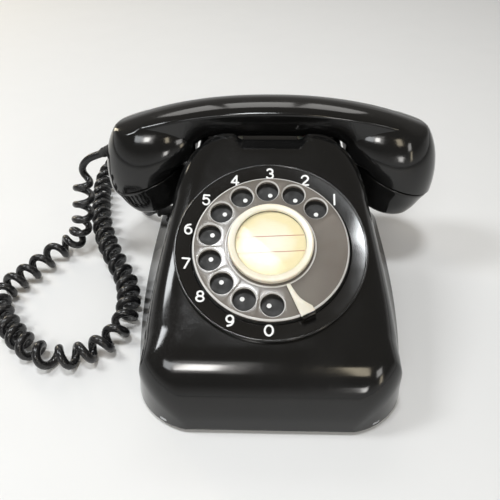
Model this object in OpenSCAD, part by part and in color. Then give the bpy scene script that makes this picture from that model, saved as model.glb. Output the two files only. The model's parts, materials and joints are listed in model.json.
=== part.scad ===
// Desk telephone with a rotary dial, built as the real one comes apart on a bench.
// Origin: centre of the footprint, on the surface it stands on. +X right, +Y back, +Z up.

/* [Case] */
// Depth of the case, front to back
case_depth = 208; // [190:1:220]
// Half width of the base at the back
base_half = 87; // [84:0.5:90]
// How much narrower each side of the base gets towards the front
base_taper = 20.5; // [18:0.5:22]
// Wall thickness of the moulded case
wall = 3; // [2.5:0.1:3.5]
// Height of the lip in front of the cradle
lip_z = 100; // [98:0.2:102]
// Radius of the big round between the front wall and the dial face
front_round = 25; // [18:1:28]

/* [Dial] */
// Slope of the dial face from level, in degrees
dial_tilt = 25.3; // [24:0.1:27]
// Radius of the number ring
ring_r = 53.8; // [52:0.1:55]
// Radius of the clear finger wheel
wheel_r = 43; // [41:0.1:43.5]
// Radius of the circle that the finger holes are on
hole_circle_r = 33.5; // [32.5:0.1:34]
// Radius of one finger hole
hole_r = 6.2; // [5.8:0.1:6.6]
// Angle from one finger hole to the next, in degrees
hole_step = 25.5; // [25:0.1:26]
// Radius of the ivory ring round the number card
card_ring_r = 23.4; // [22:0.1:24]

/* [Handset] */
// Length of the handset between its two end faces
handset_len = 222; // [218:1:224]
// Half width of the handle across its top ridges
handle_half = 14.5; // [13:0.5:15]
// Height of the top of the handle when the handset is in the cradle
handset_top = 114.6; // [113:0.2:117]
// Radius of the seam between a cap and its cup
cup_r = 27; // [26:0.5:27.5]
// How far the caps lean inwards, in degrees
cup_lean = 20; // [18:0.5:22]

/* [Cord] */
// Outer diameter of the coiled handset cord
coil_d = 14.5; // [13:0.5:15]
// Diameter of the cord's straight ends
lead_d = 4.6; // [4:0.2:5]

/* [Hidden] */

$fn = 64;
eps = 0.05;
slip = 0.3;               // gap between pieces that move against each other
bearing_gap = 0.05;       // radial clearance of a shaft in its bearing

// Case profile, in the Y-Z plane
rim_z = 3;
case_front = -case_depth / 2;
case_back = case_depth / 2;
front_lean = 5;
back_lean = 8;
back_round = 11;
dial_y = -30;
dial_z = 67;
corner = 20;              // rounding of the case's corners, seen from above
taper_from = 60;          // the flanks start to close in here, towards the front
face_half = 58;           // half width of the dial face at y = 0
face_taper = 0.131;
neck_y = 5;               // behind here the face closes in to the cradle's front lip
neck_len = 33;
neck_in = 13.5;

// Cradle
handset_y = 58;
cup_x = handset_len / 2 - cup_r;
cradle_slack = 1.6;
cradle_front = handset_y - handle_half - cradle_slack;
cradle_back = handset_y + handle_half + cradle_slack;
cradle_floor = 88;
cradle_seat_z = 92.6;
seat_x = 29;
seat_w = 8;
seat_len = 24;
plunger_x = 22;
plunger_r = 4;
plunger_top = cradle_seat_z + 0.3;

// Base: screw bosses [x, y, height of the hole], feet, and where the two cords come in
base_top = 6;
base_t = 1.6;
boss_r = 5;
boss_hole_r = 2;
boss_spots = [[40, -86, 27], [60, 84, 34]];
foot_r = 9;
foot_neck_r = 4;
feet_spots = [[54, -73], [68, 66]];
grommet_y = 82;
grommet_z = 11;
grommet_r = 4;
gland_x = -28;
gland_z = 15;
gland_r = 5;
line_cord_r = 2.6;

// Dial unit heights along the dial's own axis, from the plane of the white dots
dial_hole_r = 50;
skirt_r = dial_hole_r - 0.3;
well_r = 44.4;
stop_angle = -63;
stop_h = 5.4;
stop_t = 1.6;
first_hole = 39.2;
digit_h = 1.5;
hub_h = 5;
wheel_low = 1.2;
wheel_top = 4.4;
shaft_r = 3;
shaft_fit = 0.02;         // gap between the shaft and what is pressed on it
pin_r = 1.5;
frame_h = -5.5;
bridge_h = -32;
plate_t = 2;
gear_h = -11.5;
gear_t = 2.4;
tooth_module = 0.8;
tooth_up = 0.6;
tooth_down = 0.9;
main_teeth = 60;
pinion_teeth = 15;
pinion_x = -(main_teeth + pinion_teeth) * tooth_module / 2;
worm_wheel_teeth = 20;
worm_axis_x = pinion_x + 10.6;
worm_h = -21;
worm_lead = 2 * PI * tooth_module;
worm_phase = 88;          // turns the worm's threads into the gaps of its wheel
worm_len = 12;
governor_r = 1.2;
cam_lobes = 10;
card_r = 21;

// Handset cord: where it leaves the handset and in which direction, and its route over the table
relief_from = [-104.6, handset_y, 79];
relief_dir = [-0.83, 0, -0.558];
relief_turn = atan2(relief_dir[0], relief_dir[2]);
relief_len = 17;
relief_r = 3.4;
relief_to = relief_from + relief_len * relief_dir;
lead_route = [relief_to + 0.4 * relief_dir, relief_to + 4 * relief_dir, [-127.5, 58, 63],
    [-130.5, 57.7, 57]];
coil_route = [[-130.5, 57.5, 57], [-131.5, 57, 50], [-132.5, 56.5, 40], [-134.5, 55, 29], [-138, 52, 18],
    [-144, 47, 10], [-151, 41, 7.5], [-160, 30, 7.5], [-169, 18, 7.5], [-176, 9, 7.5], [-179, -2, 7.5],
    [-175, -18, 7.5], [-166, -33, 7.5], [-154, -46, 7.5], [-140, -56, 7.5], [-128, -60, 7.5],
    [-117, -60, 7.5], [-107, -56, 7.5], [-99, -48, 7.5], [-94, -36, 7.5], [-93, -20, 7.5],
    [-95, -4, 7.5], [-99, 14, 7.5], [-106, 34, 7.5], [-116, 54, 7.5], [-127, 75, 7.5], [-135, 97, 7.5],
    [-139, 118, 7.5], [-140, 138, 7.5], [-138, 156, 7.5], [-131, 168, 7.5], [-120, 172, 7.5],
    [-110, 167, 7.5]];
tail_route = [[-110, 167, 7.5], [-106, 158, 4], [-104, 140, 2.6], [-106, 118, 2.6], [-105, 98, 2.6],
    [-98, 87, 4.6], [-94, 83, 9], [-base_half - 2.4, grommet_y, grommet_z],
    [-base_half + 14, grommet_y, grommet_z]];

// ---------------------------------------------------------------- helpers

function bezier(a, c, b, t) = a * (1 - t) * (1 - t) + c * 2 * t * (1 - t) + b * t * t;
function lerp(a, b, t) = a + (b - a) * t;
function clamp(v, lo, hi) = max(lo, min(hi, v));
function ease(t) = let (c = clamp(t, 0, 1)) c * c * (3 - 2 * c);
function unit(v) = v / norm(v);
function steps(n) = [for (i = [0:n]) i / n];
function polar(r, a) = [r * cos(a), r * sin(a)];

// Skin a list of rings, each a closed loop with the same number of points.
module skin(rings) {
    n = len(rings[0]);
    m = len(rings);
    sides = [for (j = [0:m - 2], i = [0:n - 1]) let (a = j * n + i, b = j * n + (i + 1) % n)
        each [[a, b, b + n], [a, b + n, a + n]]];
    first = [for (i = [n - 1:-1:0]) i];
    last = [for (i = [0:n - 1]) (m - 1) * n + i];
    polyhedron(points = [for (r = rings) each r], faces = concat([first], sides, [last]));
}

// A round tube along a list of points.
function tangent(p, i) = unit(p[min(i + 1, len(p) - 1)] - p[max(i - 1, 0)]);
function tube_ring(c, t, side, r, n) = let (other = cross(side, t))
    [for (k = [0:n - 1]) c + r * (cos(360 * k / n) * side + sin(360 * k / n) * other)];
function carried(p, i, side) = i == len(p) ? [] :
    let (t = tangent(p, i), s = unit(side - (side * t) * t)) concat([[t, s]], carried(p, i + 1, s));
module tube(path, r, n, side) {
    frames = carried(path, 0, side);
    skin([for (i = [0:len(path) - 1]) tube_ring(path[i], frames[i][0], frames[i][1], r, n)]);
}

// A smooth curve through a list of points (Catmull-Rom), with n steps per span.
function spline_point(a, b, c, d, t) = 0.5 * ((2 * b) + (c - a) * t
    + (2 * a - 5 * b + 4 * c - d) * t * t + (3 * b - a - 3 * c + d) * t * t * t);
function spline(p, n) = let (last = len(p) - 1) concat([for (i = [0:last - 1], k = [0:n - 1])
    spline_point(p[max(i - 1, 0)], p[i], p[i + 1], p[min(i + 2, last)], k / n)], [p[last]]);

module ring(r_out, r_in, h) {
    difference() {
        cylinder(r = r_out, h = h);
        translate([0, 0, -1]) cylinder(r = r_in, h = h + 2);
    }
}

// Spur gear with straight-sided teeth, one tooth centred on +X.
function tooth(r_root, r_tip, a, w_root, w_tip) = [
    polar(r_root, a - w_root), polar(r_tip, a - w_tip), polar(r_tip, a + w_tip), polar(r_root, a + w_root)];
module gear(teeth, h, bore, r_tip, r_root, width) {
    pitch = 360 / teeth;
    linear_extrude(h) difference() {
        polygon([for (i = [0:teeth - 1])
            each tooth(r_root, r_tip, i * pitch, pitch * width, pitch * width * 0.45)]);
        circle(r = bore);
    }
}

// Places its children in the dial's own frame, h above the plane of the white dots.
module on_dial(h = 0)
    translate([0, dial_y, dial_z]) rotate([dial_tilt, 0, 0]) translate([0, 0, h]) children();
module both_sides() {
    children();
    mirror([1, 0, 0]) children();
}

// ---------------------------------------------------------------- case

// Top line of the case from front to back, set inwards by t: a list of [y, z].
function wall_y(z, t) = case_front + t / cos(front_lean) + z * tan(front_lean);
function face_z(y, t) = dial_z + (y - dial_y) * tan(dial_tilt) - t / cos(dial_tilt);
function back_y(z, t) = case_back - t / cos(back_lean) - z * tan(back_lean);
function profile(t) = let (
    k = tan(dial_tilt) * tan(front_lean),
    corner_z = (dial_z + (wall_y(0, t) - dial_y) * tan(dial_tilt) - t / cos(dial_tilt)) / (1 - k),
    r = front_round - t,
    reach = r * tan((90 - front_lean - dial_tilt) / 2),
    low = [wall_y(corner_z, t) - reach * sin(front_lean), corner_z - reach * cos(front_lean)],
    centre = low + r * [cos(front_lean), -sin(front_lean)],
    top_z = lip_z - t,
    rb = back_round - t,
    reach_b = rb * tan((90 - back_lean) / 2),
    back_top = [back_y(top_z, t), top_z],
    centre_b = [back_top[0] - reach_b, top_z - rb],
    start_z = rim_z + 1.2)
    concat(
        [for (s = steps(4)) let (z = lerp(start_z, low[1] - 1, s)) [wall_y(z, t), z]],
        [for (s = steps(6)) let (a = lerp(180 - front_lean, 90 + dial_tilt, s))
            centre + r * [cos(a), sin(a)]],
        [for (y = [-78:9:30]) [y, face_z(y, t)]],
        [for (y = [34, 37, 40.5, 45, 53, 61, 69, 77])
            [y, min(top_z, face_z(y, t))]],
        [for (s = steps(4)) let (a = lerp(90, back_lean, s)) centre_b + rb * [cos(a), sin(a)]],
        [for (s = steps(5)) let (z = lerp(top_z - rb - 8, start_z, s)) [back_y(z, t), z]]);

// Half width of the base, and of the sharp corner between face and flank, at a given y.
function corner_cut(d, across) = across * (1 - sqrt(max(0, 1 - d * d)));
function base_w(y) = base_half - base_taper * pow(max(0, taper_from - y) / (taper_from - case_front), 1.6)
    - corner_cut(clamp((case_front + corner - y) / corner, 0, 1), corner)
    - corner_cut(clamp((y - case_back + corner) / corner, 0, 1), corner);
function face_w(y) = min(base_w(y) - 1.5, y < neck_y ? face_half - face_taper * y
    : face_half - face_taper * neck_y - corner_cut(clamp((y - neck_y) / neck_len, 0, 1), neck_in));
function shoulder_r(y) = lerp(16, 12, ease((y + 95) / 40)) + 5 * ease((y - neck_y) / 30);

// One cross-section of the case: flank, rounded shoulder and top, mirrored to a closed loop.
function half_section(y, z_top, z_low, t) = let (
    w = base_w(y) - t,
    f = max(face_w(y) - t, 4),
    rise = z_top - z_low,
    corner = [f, z_top],
    bend = [f + lerp(0.5, 0.3, ease((y + 40) / 60)) * (w - f), z_low + 0.28 * rise],
    r = min(shoulder_r(y) - t * 0.4, 0.45 * rise, f * 0.9),
    s = corner + unit(bend - corner) * r,
    e = corner - [r, 0])
    concat([[w, z_low]], [for (i = [1:6]) bezier([w, z_low], bend, s, i / 6)],
        [for (i = [1:5]) bezier(s, corner, e, i / 5)], [[e[0] / 2, z_top]]);
function section(y, z_top, z_low, t) = let (h = half_section(y, z_top, z_low, t), n = len(h))
    concat([for (p = h) [p[0], y, p[1]]], [for (i = [n - 1:-1:0]) [-h[i][0], y, h[i][1]]]);
module case_form(t, z_low) {
    skin([for (p = profile(t)) section(p[0], p[1], z_low, t)]);
}

// The cradle that the handle lies in, the dip in its front lip and the wider one behind, grown by g.
module cradle_cut(g) {
    translate([-70, cradle_front - g, cradle_floor - g])
        cube([140, cradle_back - cradle_front + 2 * g, 60]);
    translate([0, cradle_front + 2, 0]) rotate([90, 0, 0]) linear_extrude(14)
        polygon([[-18.5 - g, 95.4 - g], [18.5 + g, 95.4 - g], [26 + g, lip_z + 1], [-26 - g, lip_z + 1]]);
    translate([0, case_back, 0]) rotate([90, 0, 0]) linear_extrude(30)
        polygon([[-26 - g, 91 - g], [26 + g, 91 - g], [34 + g, lip_z + 1], [-34 - g, lip_z + 1]]);
}
// Hand hold in the back, under the cradle.
module hand_hold(g) {
    translate([0, case_back + 10, 0]) rotate([90, 0, 0]) linear_extrude(30 + g)
        polygon([[-36 - g, 56 - g], [36 + g, 56 - g], [32 + g, 80 + g], [-32 - g, 80 + g]]);
}
module housing() color([0.03, 0.03, 0.032]) {
    difference() {
        case_form(0, rim_z);
        cradle_cut(0);
        hand_hold(0);
        difference() {
            case_form(wall, rim_z - 1);
            cradle_cut(wall);
            hand_hold(wall);
            both_sides() for (b = boss_spots) translate([b[0], b[1], base_top + 0.2])
                cylinder(r = boss_r, h = 60);
        }
        on_dial(-8) cylinder(r = dial_hole_r, h = 30);
        both_sides() translate([plunger_x, handset_y, cradle_floor - 10])
            cylinder(r = plunger_r + slip, h = 20);
        both_sides() for (b = boss_spots) translate([b[0], b[1], 0]) cylinder(r = boss_hole_r, h = b[2]);
        translate([-base_half - 5, grommet_y, grommet_z]) rotate([0, 90, 0])
            cylinder(r = grommet_r, h = 20);
        translate([gland_x, case_back - 20, gland_z]) rotate([-90, 0, 0]) cylinder(r = gland_r, h = 30);
    }
    // raised seats beside the plungers
    both_sides() translate([seat_x, handset_y - seat_len / 2, cradle_floor - eps])
        cube([seat_w, seat_len, cradle_seat_z - cradle_floor + eps]);
}

// ---------------------------------------------------------------- base

module base_plate() color([0.55, 0.56, 0.58]) difference() {
    intersection() {
        case_form(wall + 0.4, rim_z - 1);
        translate([-100, -110, base_top - base_t]) cube([200, 220, base_t]);
    }
    both_sides() for (f = feet_spots) translate([f[0], f[1], 0]) cylinder(r = foot_neck_r + 0.1, h = 9);
    both_sides() for (b = boss_spots) translate([b[0], b[1], 0]) cylinder(r = boss_hole_r + 0.2, h = 9);
    // sound holes under the bells
    for (i = [-2:2]) translate([i * 12, -34, 0]) cylinder(r = 2.5, h = 9);
}
module rubber_feet() color([0.1, 0.1, 0.1]) both_sides() for (f = feet_spots) translate([f[0], f[1], 0])
    rotate_extrude() polygon([[0, 0], [foot_r - 1, 0], [foot_r, 1.2], [foot_r, base_top - base_t],
        [foot_neck_r, base_top - base_t], [foot_neck_r, base_top], [foot_neck_r + 1.5, base_top],
        [foot_neck_r + 1, base_top + 2.5], [0, base_top + 2.5]]);
module case_screws() color([0.6, 0.6, 0.6]) both_sides() for (b = boss_spots) translate([b[0], b[1], 0])
    rotate_extrude() polygon([[0, 2.6], [3.6, 2.6], [3.6, base_top - base_t],
        [boss_hole_r - 0.1, base_top - base_t], [boss_hole_r - 0.1, b[2] - 6], [0, b[2] - 6]]);
module cord_grommet() color([0.07, 0.07, 0.07]) translate([-base_half - 2.4, grommet_y, grommet_z])
    rotate([0, 90, 0]) difference() {
        union() {
            cylinder(r = grommet_r + 1.2, h = 2.2);
            cylinder(r = grommet_r - 0.1, h = 20);
        }
        translate([0, 0, -1]) cylinder(r = lead_d / 2 + 0.15, h = 24);
    }
module line_cord_gland() color([0.07, 0.07, 0.07]) translate([gland_x, case_back - 9.4, gland_z])
    rotate([-90, 0, 0]) difference() {
        union() {
            cylinder(r = gland_r + 2, h = 3);
            cylinder(r = gland_r - 0.1, h = 9.4);
        }
        translate([0, 0, -1]) cylinder(r = line_cord_r, h = 20);
    }

// ---------------------------------------------------------------- dial, fixed pieces

module number_ring() color([0.04, 0.04, 0.045]) on_dial() difference() {
    rotate_extrude($fn = 128) polygon([[8, -1.5], [well_r, -1.5], [well_r, -3.5], [skirt_r, -3.5],
        [skirt_r, 0], [ring_r, 0], [ring_r, 1.4], [ring_r - 0.8, 2.1], [ring_r - 1.6, digit_h],
        [well_r + 0.2, digit_h], [well_r - 0.2, 0], [8, 0]]);
    for (a = [30, 150, 270]) rotate(a) translate([47, 0, -4]) cylinder(r = 1.3, h = 3, $fn = 24);
}
module finger_stop() color([0.9, 0.87, 0.78]) on_dial() rotate(stop_angle) {
    // blade over the wheel, straight on the side the finger meets and waisted on the other
    translate([0, 0, stop_h]) linear_extrude(stop_t) polygon([[24.6, -2.6], [44.4, -4.6], [45.6, -4.4],
        [45.6, 4.6], [43.4, 5.2], [40.8, 4.4], [35.6, 1.6], [30.6, 0.2], [25.4, -0.4]]);
    translate([43.4, -4.3, digit_h]) cube([2.2, 8.8, stop_h - digit_h + eps]);
}
dial_posts_at = [for (a = [-80, 30, 150]) polar(40, a)];
module dial_frame() color([0.6, 0.6, 0.58]) on_dial(frame_h) difference() {
    union() {
        cylinder(r = 46, h = plate_t);
        translate([-51, -6, 0]) cube([102, 12, plate_t]);
        cylinder(r = 6, h = plate_t + 1.5);
    }
    translate([0, 0, -1]) cylinder(r = shaft_r + bearing_gap, h = 6);
    translate([pinion_x, 0, -1]) cylinder(r = pin_r + bearing_gap, h = 6);
    for (a = [60, 120, 240, 300]) rotate(a) translate([22, 0, -1]) cylinder(r = 9, h = 4);
}
module bridge_arm() hull() {
    cylinder(r = 9, h = plate_t, $fn = 32);
    children();
}
module dial_bridge() color([0.62, 0.6, 0.52]) on_dial(bridge_h) difference() {
    union() {
        for (p = dial_posts_at) bridge_arm() translate(p) cylinder(r = 4, h = plate_t, $fn = 32);
        bridge_arm() translate([worm_axis_x - 14, -14, 0]) cube([14, 46, plate_t]);
        bridge_arm() translate([32, 0, 0]) cube([8, 8, plate_t]);
    }
    translate([0, 0, -1]) cylinder(r = shaft_r + bearing_gap, h = 6);
    translate([pinion_x, 0, -1]) cylinder(r = pin_r + bearing_gap, h = 6);
}
module dial_posts() color([0.75, 0.7, 0.5]) on_dial(bridge_h + plate_t) for (p = dial_posts_at)
    translate(p) cylinder(r = 2.5, h = frame_h - bridge_h - plate_t);
module dial_bracket() color([0.5, 0.5, 0.52]) both_sides() {
    top = dial_z + frame_h * cos(dial_tilt);
    y = dial_y - frame_h * sin(dial_tilt);
    half = 5;
    translate([47, y - half, base_top]) cube([2, 2 * half, top - base_top - half * tan(dial_tilt)]);
    translate([39, y - half, base_top]) cube([8, 2 * half, 2]);
}
function spiral(r0, r1, turns, n) = [for (s = steps(n)) polar(lerp(r0, r1, s), 360 * turns * s)];
spring_turns = 4;
spring_steps = 80;
spring_wire = 0.4;
spring_out = 10;
module return_spring() color([0.7, 0.7, 0.68]) on_dial(-28.5) linear_extrude(4) {
    inner = spiral(shaft_r + spring_wire, spring_out - spring_wire, spring_turns, spring_steps);
    outer = spiral(shaft_r + 2 * spring_wire, spring_out, spring_turns, spring_steps);
    polygon(concat(inner, [for (i = [spring_steps:-1:0]) outer[i]]));
}
module spring_post() color([0.75, 0.7, 0.5]) on_dial(bridge_h + plate_t)
    translate([spring_out + 1.3, 0, 0]) cylinder(r = 1.2, h = 6);
block_h = -19;
module impulse_contacts() color([0.8, 0.72, 0.45]) on_dial() {
    for (k = [0:2]) translate([12, 2 + k * 3.4, block_h + 1]) cube([20.2, 0.4, 4]);
    color([0.35, 0.2, 0.12]) translate([32, 0, block_h]) cube([8, 12, 6]);
    translate([34, 1, bridge_h + plate_t]) cube([4, 6, block_h - bridge_h - plate_t]);
}
module governor_cup() color([0.75, 0.7, 0.5]) on_dial(worm_h) translate([worm_axis_x, 0, 0]) difference() {
    union() {
        translate([0, 16, 0]) rotate([-90, 0, 0]) cylinder(r = 8.6, h = 12);
        translate([-4, 17, bridge_h + plate_t - worm_h]) cube([8, 10, 6]);
    }
    translate([0, 15, 0]) rotate([-90, 0, 0]) cylinder(r = 7.6, h = 11.5);
    translate([0, 15, 0]) rotate([-90, 0, 0]) cylinder(r = governor_r + bearing_gap, h = 20);
}
module governor_bearing() color([0.75, 0.7, 0.5])
    on_dial(worm_h) translate([worm_axis_x, 0, 0]) difference() {
        translate([-3, -13, bridge_h + plate_t - worm_h]) cube([6, 3, worm_h - bridge_h - plate_t + 3]);
        translate([0, -14, 0]) rotate([-90, 0, 0]) cylinder(r = governor_r + bearing_gap, h = 6);
    }

// ---------------------------------------------------------------- dial, turning pieces

module finger_wheel() color([0.75, 0.75, 0.75, 0.5]) on_dial() difference() {
    rotate_extrude($fn = 128) polygon([[shaft_r + shaft_fit, wheel_low], [wheel_r - 0.5, wheel_low],
        [wheel_r, wheel_low + 0.5], [wheel_r, wheel_top - 0.7], [wheel_r - 0.7, wheel_top],
        [card_ring_r + 1.6, wheel_top], [card_ring_r + 1, hub_h], [shaft_r + shaft_fit, hub_h]]);
    for (i = [0:9]) rotate(first_hole + i * hole_step) translate([hole_circle_r, 0, 0]) {
        cylinder(r = hole_r, h = 10);
        translate([0, 0, wheel_top - 1]) cylinder(r1 = hole_r - 0.1, r2 = hole_r + 1.1, h = 1.2);
    }
}
module card_holder() color([0.7, 0.7, 0.7]) on_dial(hub_h) ring(card_ring_r - 1, shaft_r + 0.4, 1.4);
module number_card() color([0.93, 0.9, 0.75]) on_dial(hub_h + 1.4) cylinder(r = card_r, h = 0.4);
module card_window() color([0.9, 0.92, 0.92, 0.3]) on_dial(hub_h + 1.8) cylinder(r = card_r, h = 1);
module card_ring() color([0.93, 0.88, 0.76]) on_dial(hub_h) rotate_extrude($fn = 96)
    polygon([[card_ring_r - 0.9, 0], [card_ring_r, 0], [card_ring_r, 3.2], [card_ring_r - 0.6, 4],
        [card_ring_r - 1.6, 4.3], [20, 4.2], [19.3, 3.6], [19.2, 2.8], [card_ring_r - 0.9, 2.8]]);
module dial_shaft() color([0.7, 0.7, 0.7]) on_dial(bridge_h - 0.8) {
    cylinder(r = shaft_r, h = hub_h - bridge_h + 0.8);
    translate([0, 0, hub_h - bridge_h + 0.8]) cylinder(r = shaft_r + 0.2, h = 1.2);
}
module main_gear() color([0.8, 0.68, 0.35]) on_dial(gear_h) gear(main_teeth, gear_t, shaft_r + shaft_fit,
    main_teeth * tooth_module / 2 + tooth_up, main_teeth * tooth_module / 2 - tooth_down, 0.3);
// Cam with its lobes on one side only, one for each pulse.
module impulse_cam() color([0.3, 0.2, 0.12]) on_dial(-17) linear_extrude(2) difference() {
    polygon(concat([for (i = [0:cam_lobes - 1]) each tooth(7.6, 9.4, i * 28, 8, 5)],
        [for (a = [276:14:332]) polar(7.6, a)]));
    circle(r = shaft_r + shaft_fit);
}
module pinion_shaft() color([0.8, 0.68, 0.35]) on_dial() translate([pinion_x, 0, 0]) {
    translate([0, 0, bridge_h + 0.2]) cylinder(r = pin_r, h = frame_h - bridge_h + plate_t - 0.4);
    translate([0, 0, gear_h - 0.6]) rotate(180 / pinion_teeth) gear(pinion_teeth, gear_t + 1.2,
        pin_r - eps, pinion_teeth * tooth_module / 2 + tooth_up,
        pinion_teeth * tooth_module / 2 - tooth_down, 0.26);
    translate([0, 0, worm_h - 0.8]) gear(worm_wheel_teeth, 1.6, pin_r - eps, 8.5, 7.1, 0.22);
    translate([0, 0, worm_h + 0.8 - eps]) cylinder(r = 3, h = gear_h - 0.6 - worm_h - 0.8 + 2 * eps);
}
// Worm section: a round root with two threads, turned as it rises.
worm_thread = [[1.8, -62], [1.85, -44], [3.1, -17], [3.1, 17], [1.85, 44], [1.8, 62]];
function worm_outline() = [for (s = [0, 180], p = worm_thread) polar(p[0], s + p[1])];
module governor_shaft() color([0.8, 0.68, 0.35])
    on_dial(worm_h) translate([worm_axis_x, 0, 0]) rotate([-90, 0, 0]) {
        translate([0, 0, -13.5]) cylinder(r = governor_r, h = 42);
        translate([0, 0, -worm_len / 2]) rotate(worm_phase - 180 * worm_len / worm_lead)
            linear_extrude(worm_len, twist = -360 * worm_len / worm_lead, slices = 36, $fn = 12)
                polygon(worm_outline());
        // carrier and its two brake weights
        translate([0, 0, 13]) cylinder(r = 3.4, h = 11.9);
        for (s = [0, 180]) translate([0, 0, 17.5]) rotate(s)
            rotate_extrude(angle = 120) translate([2.4, 0]) square([4.2, 8]);
    }

// ---------------------------------------------------------------- hook switch

lever_y = 34;
lever_z = 66;
lever_t = 2;
collar_z = 74;
module hook_plungers() color([0.85, 0.83, 0.78]) both_sides() translate([plunger_x, handset_y, 0]) {
    translate([0, 0, lever_z + 1.8]) cylinder(r = 2.5, h = collar_z - lever_z - 1.7);
    translate([0, 0, collar_z]) cylinder(r = plunger_r, h = plunger_top - collar_z - 1);
    translate([0, 0, plunger_top - 1]) cylinder(r1 = plunger_r, r2 = plunger_r - 1, h = 1);
    translate([0, 0, collar_z]) cylinder(r = plunger_r + 2, h = 1.6);
}
module hook_lever() color([0.7, 0.7, 0.72]) difference() {
    union() {
        // fork under the plungers, its crossbar, and the finger over the contacts
        both_sides() translate([plunger_x - 3, lever_y + 7, lever_z - 1])
            cube([6, handset_y - lever_y - 4, lever_t]);
        translate([-plunger_x - 3, lever_y + 7, lever_z - 1]) cube([2 * plunger_x + 6, 5, lever_t]);
        translate([-14, lever_y, lever_z]) rotate([0, 90, 0]) cylinder(r = 3, h = 28);
        translate([-10, lever_y + 1, lever_z - 1]) cube([20, 8, lever_t]);
        translate([-2, lever_y - 15, lever_z - 1]) cube([4, 15, lever_t]);
        translate([0, lever_y - 13, lever_z - 5.7]) cylinder(r = 1.2, h = 5);
    }
    translate([-20, lever_y, lever_z]) rotate([0, 90, 0]) cylinder(r = pin_r + bearing_gap, h = 40);
}
module hook_pivot_pin() color([0.75, 0.75, 0.75])
    translate([-20, lever_y, lever_z]) rotate([0, 90, 0]) cylinder(r = pin_r, h = 40);
module hook_bracket() color([0.5, 0.5, 0.52]) difference() {
    both_sides() {
        translate([15, lever_y - 5, base_top]) cube([2, 10, lever_z + 5 - base_top]);
        translate([8, lever_y - 5, base_top]) cube([7.1, 10, 2]);
        translate([0, lever_y - 5, 46]) cube([15.1, 2, 14]);
    }
    translate([-20, lever_y, lever_z]) rotate([0, 90, 0]) cylinder(r = pin_r + 0.01, h = 40);
}
module hook_contacts() {
    color([0.8, 0.72, 0.45]) for (k = [0:2]) translate([-3, lever_y - 30, 52 + k * 2.5])
        cube([6, 20.2, 0.4]);
    color([0.35, 0.2, 0.12]) translate([-8, lever_y - 10, 48]) cube([16, 5, 12]);
}

// ---------------------------------------------------------------- ringer

gong_x = 33;
gong_y = 62;
gong_r = 26.5;
gong_rim_z = 27;
gong_rise = 13;
gong_t = 1.4;
gong_skirt = 3;
gong_hole_r = 2.2;
function dome(r, h) = [for (s = steps(16)) [r * sin(90 * s), h * cos(90 * s)]];
module gong() rotate_extrude($fn = 96) difference() {
    polygon(concat(dome(gong_r, gong_rise), [[gong_r, -gong_skirt], [0, -gong_skirt]]));
    polygon(concat(dome(gong_r - gong_t, gong_rise - gong_t),
        [[gong_r - gong_t, -gong_skirt - 1], [0, -gong_skirt - 1]]));
    translate([0, -gong_skirt]) square([gong_hole_r, 30]);
}
module gongs() color([0.72, 0.7, 0.66]) both_sides() translate([gong_x, gong_y, gong_rim_z]) gong();
gong_post_h = gong_rim_z + gong_rise - gong_t - 0.4 - base_top;
module gong_posts() color([0.6, 0.6, 0.6]) both_sides() translate([gong_x, gong_y, base_top]) difference() {
    cylinder(r = 5, h = gong_post_h);
    translate([0, 0, gong_post_h - 4]) cylinder(r = gong_hole_r - 0.05, h = 6);
}
module gong_screws() color([0.7, 0.7, 0.7]) both_sides() translate([gong_x, gong_y, gong_rim_z + gong_rise])
    rotate_extrude() polygon([[0, -2], [gong_hole_r - 0.1, -2], [gong_hole_r - 0.1, 0.02], [4.5, 0.02],
        [4.5, 1.4], [3.6, 2.4], [0, 2.4]]);
coil_y = 14;
coil_core = 15;
yoke_half = 24;
yoke_t = 2.5;
module ringer_frame() color([0.5, 0.5, 0.52]) {
    translate([-yoke_half, coil_y - 9, base_top]) cube([2 * yoke_half, 18, yoke_t]);
    both_sides() translate([yoke_half - yoke_t, coil_y - 9, base_top]) cube([yoke_t, 18, 26]);
    translate([-4, coil_y + 9, base_top]) cube([8, 12, yoke_t]);
}
module ringer_coils() color([0.55, 0.2, 0.12]) both_sides() translate([0, coil_y, 20]) rotate([0, 90, 0]) {
    for (z = [2, 3.4 + coil_core]) translate([0, 0, z]) cylinder(r = 8.6, h = 1.4);
    translate([0, 0, 3.4]) cylinder(r = 7.8, h = coil_core);
    cylinder(r = 3, h = yoke_half - yoke_t);
}
clapper_y = coil_y + 16;
clapper_z = 24;
module clapper() color([0.75, 0.72, 0.6]) {
    difference() {
        union() {
            translate([0, clapper_y, clapper_z]) cylinder(r = 4, h = 5);
            translate([-1, clapper_y + 3, clapper_z + 2]) cube([2, gong_y - clapper_y - 3, 1.6]);
            translate([-9, clapper_y - 3.5, clapper_z + 1.5]) cube([18, 3, 3]);
        }
        translate([0, clapper_y, clapper_z - 4]) cylinder(r = pin_r + bearing_gap, h = 12);
    }
    translate([0, gong_y, clapper_z + 2.8]) sphere(r = 4.4);
}
module clapper_pin() color([0.7, 0.7, 0.7]) translate([0, clapper_y, base_top + 2.5]) {
    cylinder(r = pin_r, h = clapper_z - base_top);
    cylinder(r = 3.4, h = clapper_z - base_top - 2.5 - slip);
}

// ---------------------------------------------------------------- circuit pieces

board_z = 11;
module terminal_board() color([0.45, 0.28, 0.14]) {
    translate([-34, -84, board_z]) cube([68, 26, 2]);
    for (x = [-32, 28], y = [-82, -64]) translate([x, y, base_top]) cube([4, 4, board_z - base_top]);
}
module terminal_screws() color([0.8, 0.75, 0.5]) for (i = [0:6], y = [-78, -65])
    translate([-27 + i * 9, y, board_z + 2]) cylinder(r = 3, h = 2.4);
module induction_coil() color([0.3, 0.3, 0.34]) translate([18, -16, base_top]) {
    cube([24, 16, 22]);
    translate([-4, 3, 4]) cube([32, 10, 14]);
}
module capacitor() color([0.7, 0.7, 0.72]) translate([-44, -20, base_top]) cube([32, 20, 20]);

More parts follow.
